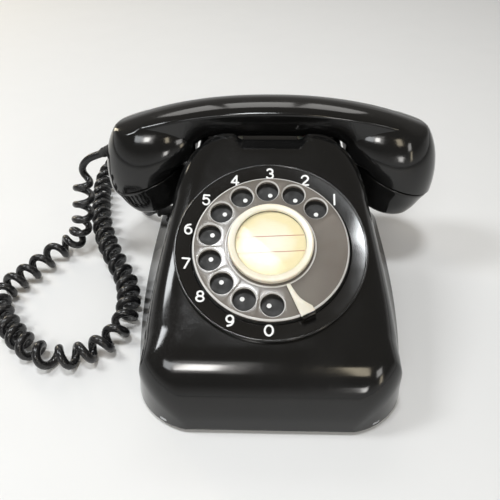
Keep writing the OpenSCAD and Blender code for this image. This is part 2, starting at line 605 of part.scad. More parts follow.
// ---------------------------------------------------------------- handset

seam_z = 63.4;
cap_h = 23;
cap_floor = cap_h - 5.2;
capsule_h = 16;
module in_cup(h = 0)
    translate([cup_x, handset_y, seam_z]) rotate([0, cup_lean, 0]) translate([0, 0, h]) children();
// Handle: crest, underside and half width along x.
handle_end = 88;
handle_belly = 93.6;
arch_x = 38;
crown = 2.6;
function handle_top(x) = handset_top - 11.3 * pow(abs(x) / 83, 2.2);
function arch_drop(a) = a < arch_x ? 0.6 * pow(a / arch_x, 2) : 0.6 + 19.4 * pow((a - arch_x) / 20.6, 1.7);
function handle_low(x) = let (a = abs(x))
    max(handle_belly - arch_drop(a), a < 50 ? 0 : seam_z + (cup_x - a) * tan(cup_lean) + 7);
function keel(x) = ease((abs(x) - 36) / 22);
function handle_section(x) = let (top = handle_top(x), ridge = top - crown, low = handle_low(x),
    w = handle_half, deep = ridge - low, k = keel(x),
    half = [[w * lerp(0.42, 0.12, k), low], [w * lerp(0.7, 0.34, k), low + 0.07 * deep],
        [w * lerp(0.86, 0.56, k), low + 0.22 * deep], [w * lerp(0.95, 0.8, k), low + 0.5 * deep],
        [w - 0.1, ridge - 1.6], [w - 0.5, ridge - 0.3], [w - 1.5, ridge + 0.4],
        [w * 0.66, ridge + crown * 0.62], [w * 0.33, ridge + crown * 0.9]], n = len(half))
    concat([for (p = half) [x, handset_y + p[0], p[1]]], [[x, handset_y, top]],
        [for (i = [n - 1:-1:0]) [x, handset_y - half[i][0], half[i][1]]]);
module handle() skin([for (i = [22:-1:-22]) handle_section(handle_end * i / 22)]);
// Cup: half an ellipsoid with an upright axis, trimmed by the crest line above and the seam plane below.
cup_rise = 43.9;
function egg(r, h) = [for (i = [-10:20]) let (a = 90 * i / 20) [r * cos(a), h * sin(a)]];
module egg_solid(r, h) translate([cup_x, handset_y, seam_z]) rotate_extrude($fn = 72)
    polygon(concat([[0, egg(r, h)[0][1]]], egg(r, h)));
module below_crest(t) translate([0, handset_y + 40, 0]) rotate([90, 0, 0]) linear_extrude(80)
    polygon(concat([[50, 20]], [for (x = [50:4:122]) [x, handle_top(x) - t]], [[122, 20]]));
module cup(t) intersection() {
    egg_solid(cup_r - t, cup_rise - t);
    below_crest(t * 1.2);
    in_cup() translate([-50, -50, -t / 3]) cube([100, 100, 100]);
}
module handset_shell() color([0.03, 0.03, 0.032]) difference() {
    union() {
        handle();
        both_sides() cup(0);
    }
    both_sides() cup(wall);
    translate(relief_from - 8 * relief_dir) rotate([0, relief_turn, 0])
        cylinder(r = relief_r, h = 20);
}
module cap_solid(depth) rotate([180, 0, 0]) difference() {
    rotate_extrude($fn = 72) polygon([[0, 0], [cup_r, 0], [cup_r, 1.2], [cup_r - 1.5, 8],
        [cup_r - 4.5, depth - 3.5], [cup_r - 7.5, depth - 0.6], [cup_r - 10, depth], [0, depth - 1.6]]);
    rotate_extrude($fn = 72) polygon([[0, -1], [cup_r - 2.6, -1], [cup_r - 2.6, 1.2], [cup_r - 4.1, 8],
        [cup_r - 7, cap_floor], [0, cap_floor]]);
    // sound holes
    for (i = [0:5]) rotate(i * 60) translate([8, 0, depth - 8]) cylinder(r = 1.2, h = 10, $fn = 24);
    translate([0, 0, depth - 8]) cylinder(r = 1.2, h = 10, $fn = 24);
}
module receiver_cap() color([0.03, 0.03, 0.032]) in_cup() cap_solid(cap_h);
module transmitter_cap() color([0.03, 0.03, 0.032]) mirror([1, 0, 0]) in_cup() cap_solid(cap_h);
module capsule(r, h) {
    cylinder(r = r, h = h * 0.6);
    translate([0, 0, h * 0.6]) cylinder(r = r * 0.6, h = h * 0.4);
}
module receiver_capsule() color([0.7, 0.7, 0.72]) in_cup(-cap_floor) capsule(19.4, capsule_h);
module transmitter_capsule() color([0.72, 0.7, 0.6]) mirror([1, 0, 0])
    in_cup(-cap_floor) capsule(19.4, capsule_h);
// A pair of leaf contacts stands on each capsule.
module capsule_contacts() color([0.8, 0.72, 0.45]) both_sides() in_cup(capsule_h - cap_floor)
    for (s = [-1, 1]) translate([s * 5, -1.5, 0]) cube([1, 3, 9]);

// ---------------------------------------------------------------- handset cord

module handset_cord_relief() color([0.05, 0.05, 0.05]) {
    translate(relief_from - 6 * relief_dir) rotate([0, relief_turn, 0]) {
        cylinder(r = relief_r, h = relief_len + 6);
        cylinder(r = relief_r + 1.6, h = 2.4);
    }
}
module handset_cord_lead() color([0.05, 0.05, 0.05]) tube(spline(lead_route, 4), lead_d / 2, 10, [0, 1, 0]);
module handset_cord_coil() color([0.05, 0.05, 0.05]) tube(coil_route, coil_d / 2, 12, [0, 1, 0]);
module handset_cord_tail() color([0.05, 0.05, 0.05]) tube(spline(tail_route, 2), lead_d / 2, 10, [0, 0, 1]);

// ---------------------------------------------------------------- pieces

housing();
base_plate();
rubber_feet();
case_screws();
number_ring();
finger_stop();
dial_frame();
dial_bridge();
dial_posts();
dial_bracket();
return_spring();
spring_post();
impulse_contacts();
governor_cup();
governor_bearing();
finger_wheel();
card_holder();
number_card();
card_window();
card_ring();
dial_shaft();
main_gear();
impulse_cam();
pinion_shaft();
governor_shaft();
hook_plungers();
hook_lever();
hook_bracket();
hook_pivot_pin();
hook_contacts();
gongs();
gong_posts();
gong_screws();
ringer_frame();
ringer_coils();
clapper();
clapper_pin();
terminal_board();
terminal_screws();
induction_coil();
capacitor();
cord_grommet();
line_cord_gland();
handset_shell();
receiver_cap();
transmitter_cap();
receiver_capsule();
transmitter_capsule();
capsule_contacts();
handset_cord_relief();
handset_cord_lead();
handset_cord_coil();
handset_cord_tail();
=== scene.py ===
import json
from math import atan, cos, dist, hypot, pi, radians, sin, sqrt, tan

import bmesh
import bpy
from mathutils import Matrix, Vector

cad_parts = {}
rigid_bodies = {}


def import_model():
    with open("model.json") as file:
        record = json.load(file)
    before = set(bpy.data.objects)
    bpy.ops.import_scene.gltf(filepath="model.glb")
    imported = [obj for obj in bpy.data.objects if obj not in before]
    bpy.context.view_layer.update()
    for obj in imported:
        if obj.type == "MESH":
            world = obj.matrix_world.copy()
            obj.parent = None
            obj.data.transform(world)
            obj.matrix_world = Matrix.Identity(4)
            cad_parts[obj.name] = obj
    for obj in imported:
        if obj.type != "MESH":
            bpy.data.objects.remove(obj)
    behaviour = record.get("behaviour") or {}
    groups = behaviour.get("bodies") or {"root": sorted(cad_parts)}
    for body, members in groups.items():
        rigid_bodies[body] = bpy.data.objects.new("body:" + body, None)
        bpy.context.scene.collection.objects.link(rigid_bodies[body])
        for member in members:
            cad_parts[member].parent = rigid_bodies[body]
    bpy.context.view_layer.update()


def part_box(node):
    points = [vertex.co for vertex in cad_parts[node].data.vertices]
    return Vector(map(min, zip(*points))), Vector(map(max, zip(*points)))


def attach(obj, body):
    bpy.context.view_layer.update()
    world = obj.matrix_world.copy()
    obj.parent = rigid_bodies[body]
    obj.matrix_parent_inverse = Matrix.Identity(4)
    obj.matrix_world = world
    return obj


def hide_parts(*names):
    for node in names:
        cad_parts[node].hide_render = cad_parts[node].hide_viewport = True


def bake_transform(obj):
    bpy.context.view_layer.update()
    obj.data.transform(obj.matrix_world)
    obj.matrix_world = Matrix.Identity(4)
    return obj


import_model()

MM = 0.001

# ---- sizes in mm
CASE_FRONT, CASE_BACK = -104.0, 104.0
# half width of the foot at the back, and how it closes in towards the front
BASE_HALF, BASE_TAPER, BASE_CURVE, TAPER_FROM = 85.4, 18.6, 2.4, 60.0
CORNER, FRONT_CORNER = 20.0, 27.0
# half width of the dial face, its slope, and the neck behind it
FACE_HALF, FACE_TAPER = 58.0, 0.131
NECK_Y, NECK_LEN, NECK_IN = 5.0, 33.0, 13.5
RIM_Z, LIP_Z, CEILING, WALL = 3.0, 100.0, 84.0, 3.0
FRONT_ROUND, BACK_ROUND = 40.0, 11.0
FRONT_LEAN, BACK_LEAN = radians(5), radians(8)
TILT = radians(25.3)
DIAL = Vector((0, -30, 67))
CRADLE_Y, CRADLE_HALF, CRADLE_FLOOR = 58.0, 16.1, 88.0
SEAT_X, SEAT_W, SEAT_LEN, SEAT_Z = 29.0, 8.0, 24.0, 92.6
PLUNGER_X, PLUNGER_R, PLUNGER_TOP = 22.0, 4.0, 92.9
PLUNGER_FOOT, COLLAR_Z, COLLAR_T = 66.0, 74.0, 1.6
RING_R, WELL_R, SKIRT_R = 53.8, 44.4, 49.7
WHEEL_R, WHEEL_LOW, WHEEL_TOP = 43.3, 1.2, 4.6
HOLE_CIRCLE, HOLE_R, HOLE_FIRST, HOLE_STEP = 34.4, 6.3, 42.2, 25.5
DOT_CIRCLE, DOT_FIRST, DOT_R = 33.6, 39.4, 1.3
DIGIT_CIRCLE, DIGIT_FIRST, DIGIT_SIZE, DIGIT_H = 47.5, 39.6, 4.7, 1.8
INK_HALF, INK_LOW, INK_TOP, SHARP_TURN = 0.52, -0.2, 0.12, radians(28)
DISH = tan(radians(10))
CARD_RING_R, CARD_R, CARD_LOW, CARD_H, HUB_H = 23.4, 21.0, 1.4, 1.8, 5.0
STOP_ANGLE, STOP_H, STOP_T = -63.0, 5.4, 1.2
HANDSET_Y, HANDLE_HALF, HANDSET_TOP, CROWN = 58.0, 14.5, 114.6, 2.6
HANDLE_BELLY, ARCH_X, HANDLE_END = 93.6, 38.0, 101.0
CUP_X, CUP_R, CUP_RISE, CUP_LEAN, SEAM_Z = 84.0, 27.0, 43.9, radians(20), 63.4
CUP_FLARE, CUP_REACH, CAP_DEPTH = 1.5, 35.3, 23.0
RELIEF_FROM, RELIEF_DIR = Vector((-104.6, 58, 80.4)), Vector((-0.903, 0, -0.430))
RELIEF_LEN, RELIEF_R = 11.6, 3.7
LEAD_D, COIL_D, PITCH, TURN_POINTS, CORD_SIDES = 5.0, 16.0, 11.6, 28, 16
GROMMET = (-BASE_HALF - 2.4, 82, 11)
GLAND_X, GLAND_Z = -28, 15
FEET = ((54, -73), (68, 66))


def moved(x, y, z):
    return Matrix.Translation((x, y, z))


def turned(angle, axis):
    return Matrix.Rotation(angle, 4, axis)


def on_dial(h=0.0):
    """Placement on the dial's face, h above it."""
    return moved(*DIAL) @ turned(TILT, "X") @ moved(0, 0, h)


def with_axes(origin, x, y, z):
    return Matrix.Translation(origin) @ Matrix((x, y, z)).transposed().to_4x4()


def in_scene(obj):
    if obj.name not in bpy.context.scene.collection.objects:
        bpy.context.scene.collection.objects.link(obj)
    return obj


# ---- camera

SENSOR, FOCAL_PX, FRAME_PX = 36, 520, 500


def make_camera():
    """The photograph's camera, looking down at 40.3 degrees."""
    right = Vector((0.999664, 0.024640, -0.007986))
    up = Vector((-0.009848, 0.646764, 0.762627))
    back = Vector((0.023956, -0.762292, 0.646790))
    place = Vector((-4.456, -251.449, 253.44)) * MM
    data = bpy.data.cameras.new("camera")
    data.sensor_width = SENSOR
    data.lens = SENSOR * FOCAL_PX / FRAME_PX
    data.clip_start = 0.01
    cam = bpy.data.objects.new("camera", data)
    cam.matrix_world = with_axes(place, right, up, back)
    bpy.context.scene.camera = in_scene(cam)


make_camera()

# ---- shader helpers


class Tree:
    """Short calls for building the nodes of a material or the world."""

    def __init__(self, owner):
        owner.use_nodes = True
        self.nodes, self.links = owner.node_tree.nodes, owner.node_tree.links
        self.nodes.clear()

    def add(self, kind, **values):
        node = self.nodes.new(kind)
        for key, value in values.items():
            setattr(node, key, value)
        return node

    def link(self, a, b):
        self.links.new(a, b)

    def put(self, node, **values):
        for key, value in values.items():
            node.inputs[key].default_value = value

    def feed(self, socket, value):
        """Links an output to the socket, or writes a number or a colour on it."""
        if isinstance(value, (int, float)):
            socket.default_value = value
        elif isinstance(value, tuple):
            socket.default_value = (*value, 1)
        else:
            self.link(value, socket)

    def ramp(self, fac, stops):
        node = self.add("ShaderNodeValToRGB")
        while len(node.color_ramp.elements) < len(stops):
            node.color_ramp.elements.new(0.5)
        for element, (pos, value) in zip(node.color_ramp.elements, stops):
            element.position = pos
            element.color = (*value, 1)
        self.link(fac, node.inputs["Fac"])
        return node.outputs["Color"]

    def grey(self, fac, *stops):
        return self.ramp(fac, [(p, (v, v, v)) for p, v in stops])

    def maths(self, operation, a, b):
        node = self.add("ShaderNodeMath", operation=operation)
        self.feed(node.inputs[0], a)
        self.feed(node.inputs[1], b)
        return node.outputs[0]


class Surface(Tree):
    """A material with one Principled shader, textured in the object's own space."""

    def __init__(self, name):
        self.mat = bpy.data.materials.new(name)
        super().__init__(self.mat)
        self.bsdf = self.add("ShaderNodeBsdfPrincipled")
        self.link(self.bsdf.outputs[0], self.add("ShaderNodeOutputMaterial").inputs[0])
        self.coord = self.add("ShaderNodeTexCoord").outputs["Object"]

    def done(self, **values):
        """Feeds the shader's sockets, with _ for a space in their names, and returns the material."""
        for key, value in values.items():
            self.feed(self.bsdf.inputs[key.replace("_", " ")], value)
        return self.mat

    def mapped(self, scale, turn=0.0):
        """Coordinates scaled along each axis and turned about Z."""
        node = self.add("ShaderNodeMapping")
        self.put(node, Scale=scale, Rotation=(0, 0, turn))
        self.link(self.coord, node.inputs["Vector"])
        return node.outputs[0]

    def noise(self, scale, detail=4.0, rough=0.6, vector=None, distortion=0.0):
        node = self.add("ShaderNodeTexNoise")
        self.put(node, Scale=scale, Detail=detail, Roughness=rough, Distortion=distortion)
        self.link(vector or self.coord, node.inputs["Vector"])
        return node.outputs["Fac"]

    def mix(self, fac, a, b):
        node = self.add("ShaderNodeMix", data_type="RGBA")
        for i, value in ((0, fac), (6, a), (7, b)):
            self.feed(node.inputs[i], value)
        return node.outputs[2]

    def bump(self, height, strength, distance):
        node = self.add("ShaderNodeBump")
        self.put(node, Strength=strength, Distance=distance)
        self.link(height, node.inputs["Height"])
        return node.outputs[0]


def scratches(n, turn, scale, width):
    """Fine straight hairlines in one direction, as 0 to 1."""
    long_noise = n.noise(1.0, 3.0, 0.6, n.mapped((scale, scale * 0.02, scale), turn))
    return n.grey(long_noise, (0.5, 0), (0.5 + width, 1.0), (0.5 + 2 * width, 0.0))


def black_plastic(name, colour, rough, wear, dust):
    """Polished black plastic with hairline scratches, dust specks and faint smudges."""
    n = Surface(name)
    smudge = n.noise(34.0, distortion=0.8)
    hair = n.maths("MAXIMUM", scratches(n, 0.5, 1400.0, 0.006), scratches(n, 2.2, 1100.0, 0.005))
    patch = n.grey(n.noise(24.0, 2.0, 0.5), (0.52, 0), (0.66, 1))
    hair = n.maths("MULTIPLY", hair, patch)
    specks = n.grey(n.noise(2400.0, 1.0, 0.4), (0.79, 0), (0.83, 1))
    base = n.mix(n.maths("MULTIPLY", specks, dust), colour, (0.16, 0.15, 0.14))
    base = n.mix(n.maths("MULTIPLY", hair, wear), base, (0.09, 0.09, 0.09))
    gloss = n.grey(smudge, (0.35, rough), (0.75, rough + 0.05))
    gloss = n.maths("ADD", gloss, n.maths("MULTIPLY", hair, 0.2))
    return n.done(Base_Color=base, Roughness=gloss, Normal=n.bump(hair, 0.04, 0.0001))


def dull_black(name, colour, rough):
    """Rubber and cord sheath: soft sheen, faint mottling and a little grime."""
    n = Surface(name)
    grime = n.grey(n.noise(160.0), (0.5, 0), (0.75, 0.5))
    gloss = n.grey(n.noise(220.0, 3.0, 0.5), (0.3, rough - 0.08), (0.7, rough + 0.10))
    return n.done(Base_Color=n.mix(grime, colour, (0.07, 0.066, 0.062)), Roughness=gloss,
                  Normal=n.bump(n.noise(1500.0, 3.0), 0.18, 0.0002))


def ivory(name, light, dark, rough):
    """Aged ivory plastic, cloudy and with grime in its pores."""
    n = Surface(name)
    tone = n.noise(55.0)
    grime = n.noise(420.0, 3.0)
    base = n.mix(n.grey(tone, (0.35, 0), (0.7, 1)), light, dark)
    base = n.mix(n.grey(grime, (0.60, 0), (0.85, 0.35)), base, (0.42, 0.33, 0.2))
    gloss = n.grey(tone, (0.3, rough), (0.7, rough + 0.12))
    return n.done(Base_Color=base, Roughness=gloss, Normal=n.bump(grime, 0.06, 0.0002), Subsurface_Weight=0.12,
                  Subsurface_Scale=0.0012)


def metal(name, colour, rough, brushed=0.0, stain=None):
    """Bare metal with a drawn grain and darker stains."""
    n = Surface(name)
    cloud = n.noise(120.0)
    grain = n.noise(1.0, 3.0, 0.6, n.mapped((90.0, 2600.0, 2600.0)))
    base = n.mix(n.grey(cloud, (0.5, 0), (0.8, 0.7)), colour, stain or tuple(c * 0.55 for c in colour))
    gloss = n.grey(cloud, (0.3, rough), (0.7, rough + 0.15))
    return n.done(Base_Color=base, Roughness=gloss, Normal=n.bump(grain, 0.05 + brushed, 0.0002), Metallic=1.0)


def plain(name, colour, rough, mottle, bump=0.1, scale=200.0):
    """A dull surface that drifts between two colours."""
    n = Surface(name)
    tone = n.noise(scale)
    return n.done(Base_Color=n.mix(n.grey(tone, (0.35, 0), (0.7, 1)), colour, mottle),
                  Roughness=n.grey(tone, (0.3, rough), (0.7, rough + 0.12)),
                  Normal=n.bump(n.noise(scale * 6, 3.0), bump, 0.0002))


def clear_acrylic(name, dark, light, rough, through):
    """Clear plastic gone smoky grey, a little warmer where it is worn. Given near-white colours, it is also the
    painted highlight on the wheel's chamfers.
    """
    n = Surface(name)
    haze = n.noise(22.0, 3.0, 0.5)
    hair = n.maths("MAXIMUM", scratches(n, 0.2, 900.0, 0.008), scratches(n, 1.3, 700.0, 0.008))
    gloss = n.grey(haze, (0.3, rough), (0.75, rough + 0.06))
    gloss = n.maths("ADD", gloss, n.maths("MULTIPLY", hair, 0.1))
    return n.done(Base_Color=n.ramp(haze, [(0.35, dark), (0.65, light)]), Roughness=gloss,
                  Normal=n.bump(hair, 0.03, 0.0001), IOR=1.49, Transmission_Weight=through)


def clear_window():
    """Thin clear plastic over the card: gloss and a faint haze, otherwise see-through."""
    n = Surface("clear_window")
    haze = n.noise(150.0)
    gloss = n.grey(haze, (0.3, 0.03), (0.75, 0.08))
    return n.done(Base_Color=(0.97, 0.96, 0.90), Roughness=gloss, IOR=1.49, Alpha=0.10)


def card_paper():
    """Cream card, yellowed towards its rim."""
    n = Surface("card_paper")
    age = n.noise(60.0, 5.0)
    fibre = n.noise(2200.0, 3.0)
    far = n.add("ShaderNodeVectorMath", operation="DISTANCE")
    far.inputs[1].default_value = on_dial(HUB_H + CARD_H) @ Vector() * MM
    n.link(n.coord, far.inputs[0])
    rim = n.maths("ADD", n.maths("MULTIPLY", far.outputs["Value"], 45.0), n.maths("MULTIPLY", age, 0.6))
    base = n.ramp(rim, [(0.45, (0.97, 0.94, 0.80)), (0.85, (0.95, 0.88, 0.62)), (1.0, (0.92, 0.80, 0.44))])
    return n.done(Base_Color=base, Roughness=0.75, Normal=n.bump(fibre, 0.15, 0.0001))


MAT = {
    "case": black_plastic("case_black", (0.006, 0.006, 0.006), 0.09, 0.6, 0.6),
    "handset": black_plastic("handset_black", (0.006, 0.006, 0.006), 0.08, 0.5, 0.4),
    "ring": black_plastic("ring_black", (0.008, 0.0075, 0.007), 0.08, 0.5, 0.4),
    "cord": dull_black("cord_black", (0.010, 0.010, 0.011), 0.24),
    "well": dull_black("well_black", (0.007, 0.007, 0.007), 0.55),
    "rubber": dull_black("rubber_black", (0.022, 0.022, 0.022), 0.6),
    "ivory": ivory("ivory", (0.88, 0.83, 0.70), (0.80, 0.71, 0.53), 0.25),
    "stop": ivory("ivory_stop", (0.88, 0.85, 0.76), (0.78, 0.72, 0.6), 0.28),
    "white": plain("white_ink", (0.93, 0.93, 0.92), 0.4, (0.88, 0.88, 0.86), 0.05),
    "red": plain("red_ink", (0.52, 0.13, 0.06), 0.6, (0.42, 0.10, 0.05), 0.05),
    "acrylic": clear_acrylic("clear_acrylic", (0.25, 0.22, 0.19), (0.36, 0.325, 0.285), 0.12, 0.5),
    # painted highlight: near-white acrylic for the wheel's chamfers and rounded edges, standing in for the bright
    # glints they catch
    "edge": clear_acrylic("acrylic_painted_highlight", (0.80, 0.78, 0.75), (0.92, 0.90, 0.87), 0.10, 0.15),
    "window": clear_window(),
    "card": card_paper(),
    "steel": metal("steel", (0.62, 0.61, 0.60), 0.25, 0.05),
    "plated": metal("plated", (0.78, 0.77, 0.75), 0.12),
    "zinc": metal("zinc", (0.50, 0.51, 0.52), 0.35, 0.1),
    "brass": metal("brass", (0.72, 0.55, 0.27), 0.28, 0.05, (0.38, 0.24, 0.10)),
    "alloy": metal("contact_alloy", (0.76, 0.66, 0.42), 0.25),
    "bell": metal("bell", (0.68, 0.60, 0.42), 0.18, 0.02),
    "winding": plain("winding", (0.40, 0.13, 0.06), 0.3, (0.28, 0.08, 0.04), 0.4, 700.0),
    "phenolic": plain("phenolic", (0.26, 0.14, 0.07), 0.4, (0.17, 0.09, 0.045), 0.2),
    "iron": plain("varnished_iron", (0.13, 0.13, 0.14), 0.35, (0.08, 0.08, 0.085), 0.3),
    "can": metal("can", (0.68, 0.68, 0.69), 0.35, 0.05),
    "floor": plain("floor", (0.84, 0.835, 0.825), 0.55, (0.825, 0.82, 0.81), 0.02, 12.0),
}

# ---- mesh helpers


def mesh_object(name, points, faces, material, sharp=30):
    """An object from points in mm, smooth apart from its sharp edges."""
    mesh = bpy.data.meshes.new(name)
    mesh.from_pydata([tuple(c * MM for c in p) for p in points], [], faces)
    mesh.validate()
    return finish_mesh(bpy.data.objects.new(name, mesh), material, sharp)


def paint(mesh, material):
    mesh.materials.clear()
    mesh.materials.append(MAT[material])


def finish_mesh(obj, material, sharp=30):
    mesh = obj.data
    paint(mesh, material)
    mesh.polygons.foreach_set("use_smooth", [True] * len(mesh.polygons))
    mesh.set_sharp_from_angle(angle=radians(sharp))
    return in_scene(obj)


def loft(rings, close_ends=True):
    """Faces for a list of rings that have the same number of points."""
    n = len(rings[0])
    faces = []
    for j in range(len(rings) - 1):
        for i in range(n):
            a, b = j * n + i, j * n + (i + 1) % n
            faces.append((a, b, b + n, a + n))
    if close_ends:
        faces.append(tuple(range(n - 1, -1, -1)))
        faces.append(tuple((len(rings) - 1) * n + i for i in range(n)))
    return [p for r in rings for p in r], faces


def revolve(profile, steps, place=Matrix.Identity(4)):
    """Turns a list of (radius, height) about Z. A radius of 0 is a point on the axis."""
    points, faces, rows = [], [], []
    for r, h in profile:
        if r < 1e-6:
            rows.append([len(points)] * steps)
            points.append(place @ Vector((0, 0, h)))
            continue
        rows.append([len(points) + i for i in range(steps)])
        points += [place @ Vector((*on_circle(r, 360 * i / steps), h)) for i in range(steps)]
    for low, high in zip(rows, rows[1:]):
        for i in range(steps):
            k = (i + 1) % steps
            corners = tuple(dict.fromkeys((low[i], low[k], high[k], high[i])))
            if len(corners) > 2:
                faces.append(corners)
    return points, faces


def rounded(corners, steps=4):
    """A profile from (radius, height) and (radius, height, rounding) corners."""
    out = []
    for i, (x, y, *r) in enumerate(corners):
        if not r:
            out.append((x, y))
            continue
        p = Vector((x, y))
        a = Vector(corners[i - 1][:2]) - p
        b = Vector(corners[i + 1][:2]) - p
        a = p + a.normalized() * min(*r, a.length * 0.49)
        b = p + b.normalized() * min(*r, b.length * 0.49)
        out += [tuple(bezier2(a, p, b, t)) for t in span(0, 1, steps)]
    return out


def on_circle(r, degrees):
    return r * cos(radians(degrees)), r * sin(radians(degrees))


def lathe(name, profile, material, place, steps=128, sharp=30):
    return outward(mesh_object(name, *revolve(profile, steps, place), material, sharp))


def cut(obj, tools, operation="DIFFERENCE"):
    """Boolean with each tool, which is then removed."""
    for tool in tools:
        mod = obj.modifiers.new("cut", "BOOLEAN")
        mod.operation, mod.solver, mod.object = operation, "MANIFOLD", tool
    mesh = bpy.data.meshes.new_from_object(obj.evaluated_get(bpy.context.evaluated_depsgraph_get()))
    obj.modifiers.clear()
    obj.data = mesh
    for tool in tools:
        bpy.data.objects.remove(tool)


def built(obj, body, slot, *nodes):
    """The body a piece rides and the CAD nodes it stands for, which are hidden. slot is not used."""
    if nodes:
        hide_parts(*nodes)
    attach(obj, body)


def cylinder_tool(r, h, place, steps=64):
    return lathe("tool", [(0, 0), (r, 0), (r, h), (0, h)], "case", place, steps)


def lofted(name, rings, material, sharp=30):
    return outward(mesh_object(name, *loft(rings), material, sharp))


def outward(obj):
    """Makes the faces point outwards."""
    bm = bmesh.new()
    bm.from_mesh(obj.data)
    bmesh.ops.remove_doubles(bm, verts=bm.verts, dist=1e-7)
    bmesh.ops.recalc_face_normals(bm, faces=bm.faces)
    bm.to_mesh(obj.data)
    bm.free()
    return obj


def lerp(a, b, t):
    return a + (b - a) * t


def clamp01(t):
    return min(1.0, max(0.0, t))


def ease(t):
    t = clamp01(t)
    return t * t * (3 - 2 * t)


def soft_min(a, b, k):
    """The lower of a and b, rounded over a width of k."""
    h = max(k - abs(a - b), 0.0) / k
    return min(a, b) - h * h * k * 0.25


def bezier2(a, c, b, t):
    return a * (1 - t) ** 2 + c * 2 * t * (1 - t) + b * t * t


def span(a, b, n):
    return [lerp(a, b, i / n) for i in range(n + 1)]


# ---- case


def corner_cut(d, across):
    """How far a quarter round has come in, d being 0 at its start and 1 at its end."""
    return across * (1 - sqrt(1 - clamp01(d) ** 2))


def base_w(y):
    """Half width of the foot."""
    taper = BASE_TAPER * (max(0.0, TAPER_FROM - y) / (TAPER_FROM - CASE_FRONT)) ** BASE_CURVE
    front = corner_cut((CASE_FRONT + FRONT_CORNER - y) / FRONT_CORNER, FRONT_CORNER)
    back = corner_cut((y - CASE_BACK + CORNER) / CORNER, CORNER)
    return BASE_HALF - taper - front - back


def face_w(y):
    """Half width where the flanks' line meets the top."""
    if y < NECK_Y:
        w = FACE_HALF - FACE_TAPER * y
    else:
        w = FACE_HALF - FACE_TAPER * NECK_Y - corner_cut((y - NECK_Y) / NECK_LEN, NECK_IN)
    return min(base_w(y) - 1.5, w)


def face_z(y, t):
    return DIAL.z + (y - DIAL.y) * tan(TILT) - t / cos(TILT)


def wall_y(z, t):
    return CASE_FRONT + t / cos(FRONT_LEAN) + z * tan(FRONT_LEAN)


def back_y(z, t):
    return CASE_BACK - t / cos(BACK_LEAN) - z * tan(BACK_LEAN)


def case_profile(t, top, fine):
    """The case's top line from front to back as (y, z). fine is the step over the face, in mm."""
    corner_z = face_z(wall_y(0, t), t) / (1 - tan(TILT) * tan(FRONT_LEAN))
    r = FRONT_ROUND - t
    reach = r * tan((pi / 2 - FRONT_LEAN - TILT) / 2)
    low = Vector((wall_y(corner_z, t) - reach * sin(FRONT_LEAN), corner_z - reach * cos(FRONT_LEAN)))
    centre = low + r * Vector((cos(FRONT_LEAN), -sin(FRONT_LEAN)))
    start = RIM_Z + 1.2
    out = [(wall_y(z, t), z) for z in span(start, low.y - 0.5, 26)]
    out += [(centre.x + r * cos(a), centre.y + r * sin(a)) for a in span(pi - FRONT_LEAN, pi / 2 + TILT, 28)]
    y = out[-1][0] + fine
    rb = BACK_ROUND - t
    back_top = back_y(top, t)
    centre_b = Vector((back_top - rb * tan((pi / 2 - BACK_LEAN) / 2), top - rb))
    while y < centre_b.x - 0.3 * fine:
        out.append((y, soft_min(top, face_z(y, t), 2.4)))
        y += fine
    out += [(centre_b.x + rb * cos(a), centre_b.y + rb * sin(a)) for a in span(pi / 2, BACK_LEAN, 14)]
    return out + [(back_y(z, t), z) for z in span(out[-1][1] - 2, start, 24)]


FLANK, SHOULDER, EDGE, TOP = 26, 14, 5, 26  # points along each part of a half section
EDGE_R = 1.3


def lip_dip(x, y):
    """Height of the dip in the front lip and of the wider one in the rear lip."""
    x = abs(x)
    if y < CRADLE_Y:
        return lerp(95.4, LIP_Z + 1.5, ease((x - 17.5) / 8.0)) if x < 27 else LIP_Z + 5
    return lerp(91.0, LIP_Z + 1.5, ease((x - 25.0) / 9.5)) if x < 36 else LIP_Z + 5


def half_row(y, z_top, z_low, t, z_cut):
    """Half of one section: flank, shoulder, a small edge where the cradle cuts it, and the top."""
    w = base_w(y) - t
    f = max(face_w(y) - t, 4)
    rise = z_top - z_low
    corner, low = Vector((f, z_top)), Vector((w, z_low))
    bend = Vector((f + lerp(0.5, 0.3, ease((y + 40) / 60)) * (w - f), z_low + 0.28 * rise))
    shoulder_r = lerp(24, 16, ease((y + 95) / 50)) + 3 * ease((y - NECK_Y) / 30)
    r = min(shoulder_r - t * 0.4, 0.45 * rise, f * 0.9)
    s = corner + (bend - corner).normalized() * r
    e = corner - Vector((r, 0))
    flank = [bezier2(low, bend, s, k) for k in span(0, 1, 60)]
    shoulder = [bezier2(s, corner, e, k) for k in span(0, 1, 40)]
    if z_cut is None:
        line = resample(flank, FLANK) + resample(shoulder, SHOULDER)[1:]
        edge = [line[-1]] * EDGE
    else:
        side = flank + shoulder[1:]
        below = [p for p in side if p.y < z_cut - EDGE_R]
        at = crossing(side, z_cut)
        line = resample(below, FLANK + SHOULDER)
        edge = [bezier2(below[-1], at, at - Vector((EDGE_R, 0)), k) for k in span(0, 1, EDGE)[1:]]
    end = edge[-1]
    return line + edge + [Vector((x, end.y)) for x in span(end.x, 0, TOP)[1:]]


def crossing(line, z):
    for a, b in zip(line, line[1:]):
        if a.y <= z <= b.y:
            return a.lerp(b, (z - a.y) / max(b.y - a.y, 1e-9))
    return line[-1].copy()


def resample(line, n):
    """n + 1 points at equal steps along a line."""
    total = [0.0]
    for a, b in zip(line, line[1:]):
        total.append(total[-1] + (b - a).length)
    out, k = [], 0
    for i in range(n + 1):
        want = total[-1] * i / n
        while k < len(line) - 2 and total[k + 1] < want:
            k += 1
        step = max(total[k + 1] - total[k], 1e-12)
        out.append(line[k].lerp(line[k + 1], min(1.0, (want - total[k]) / step)))
    return out


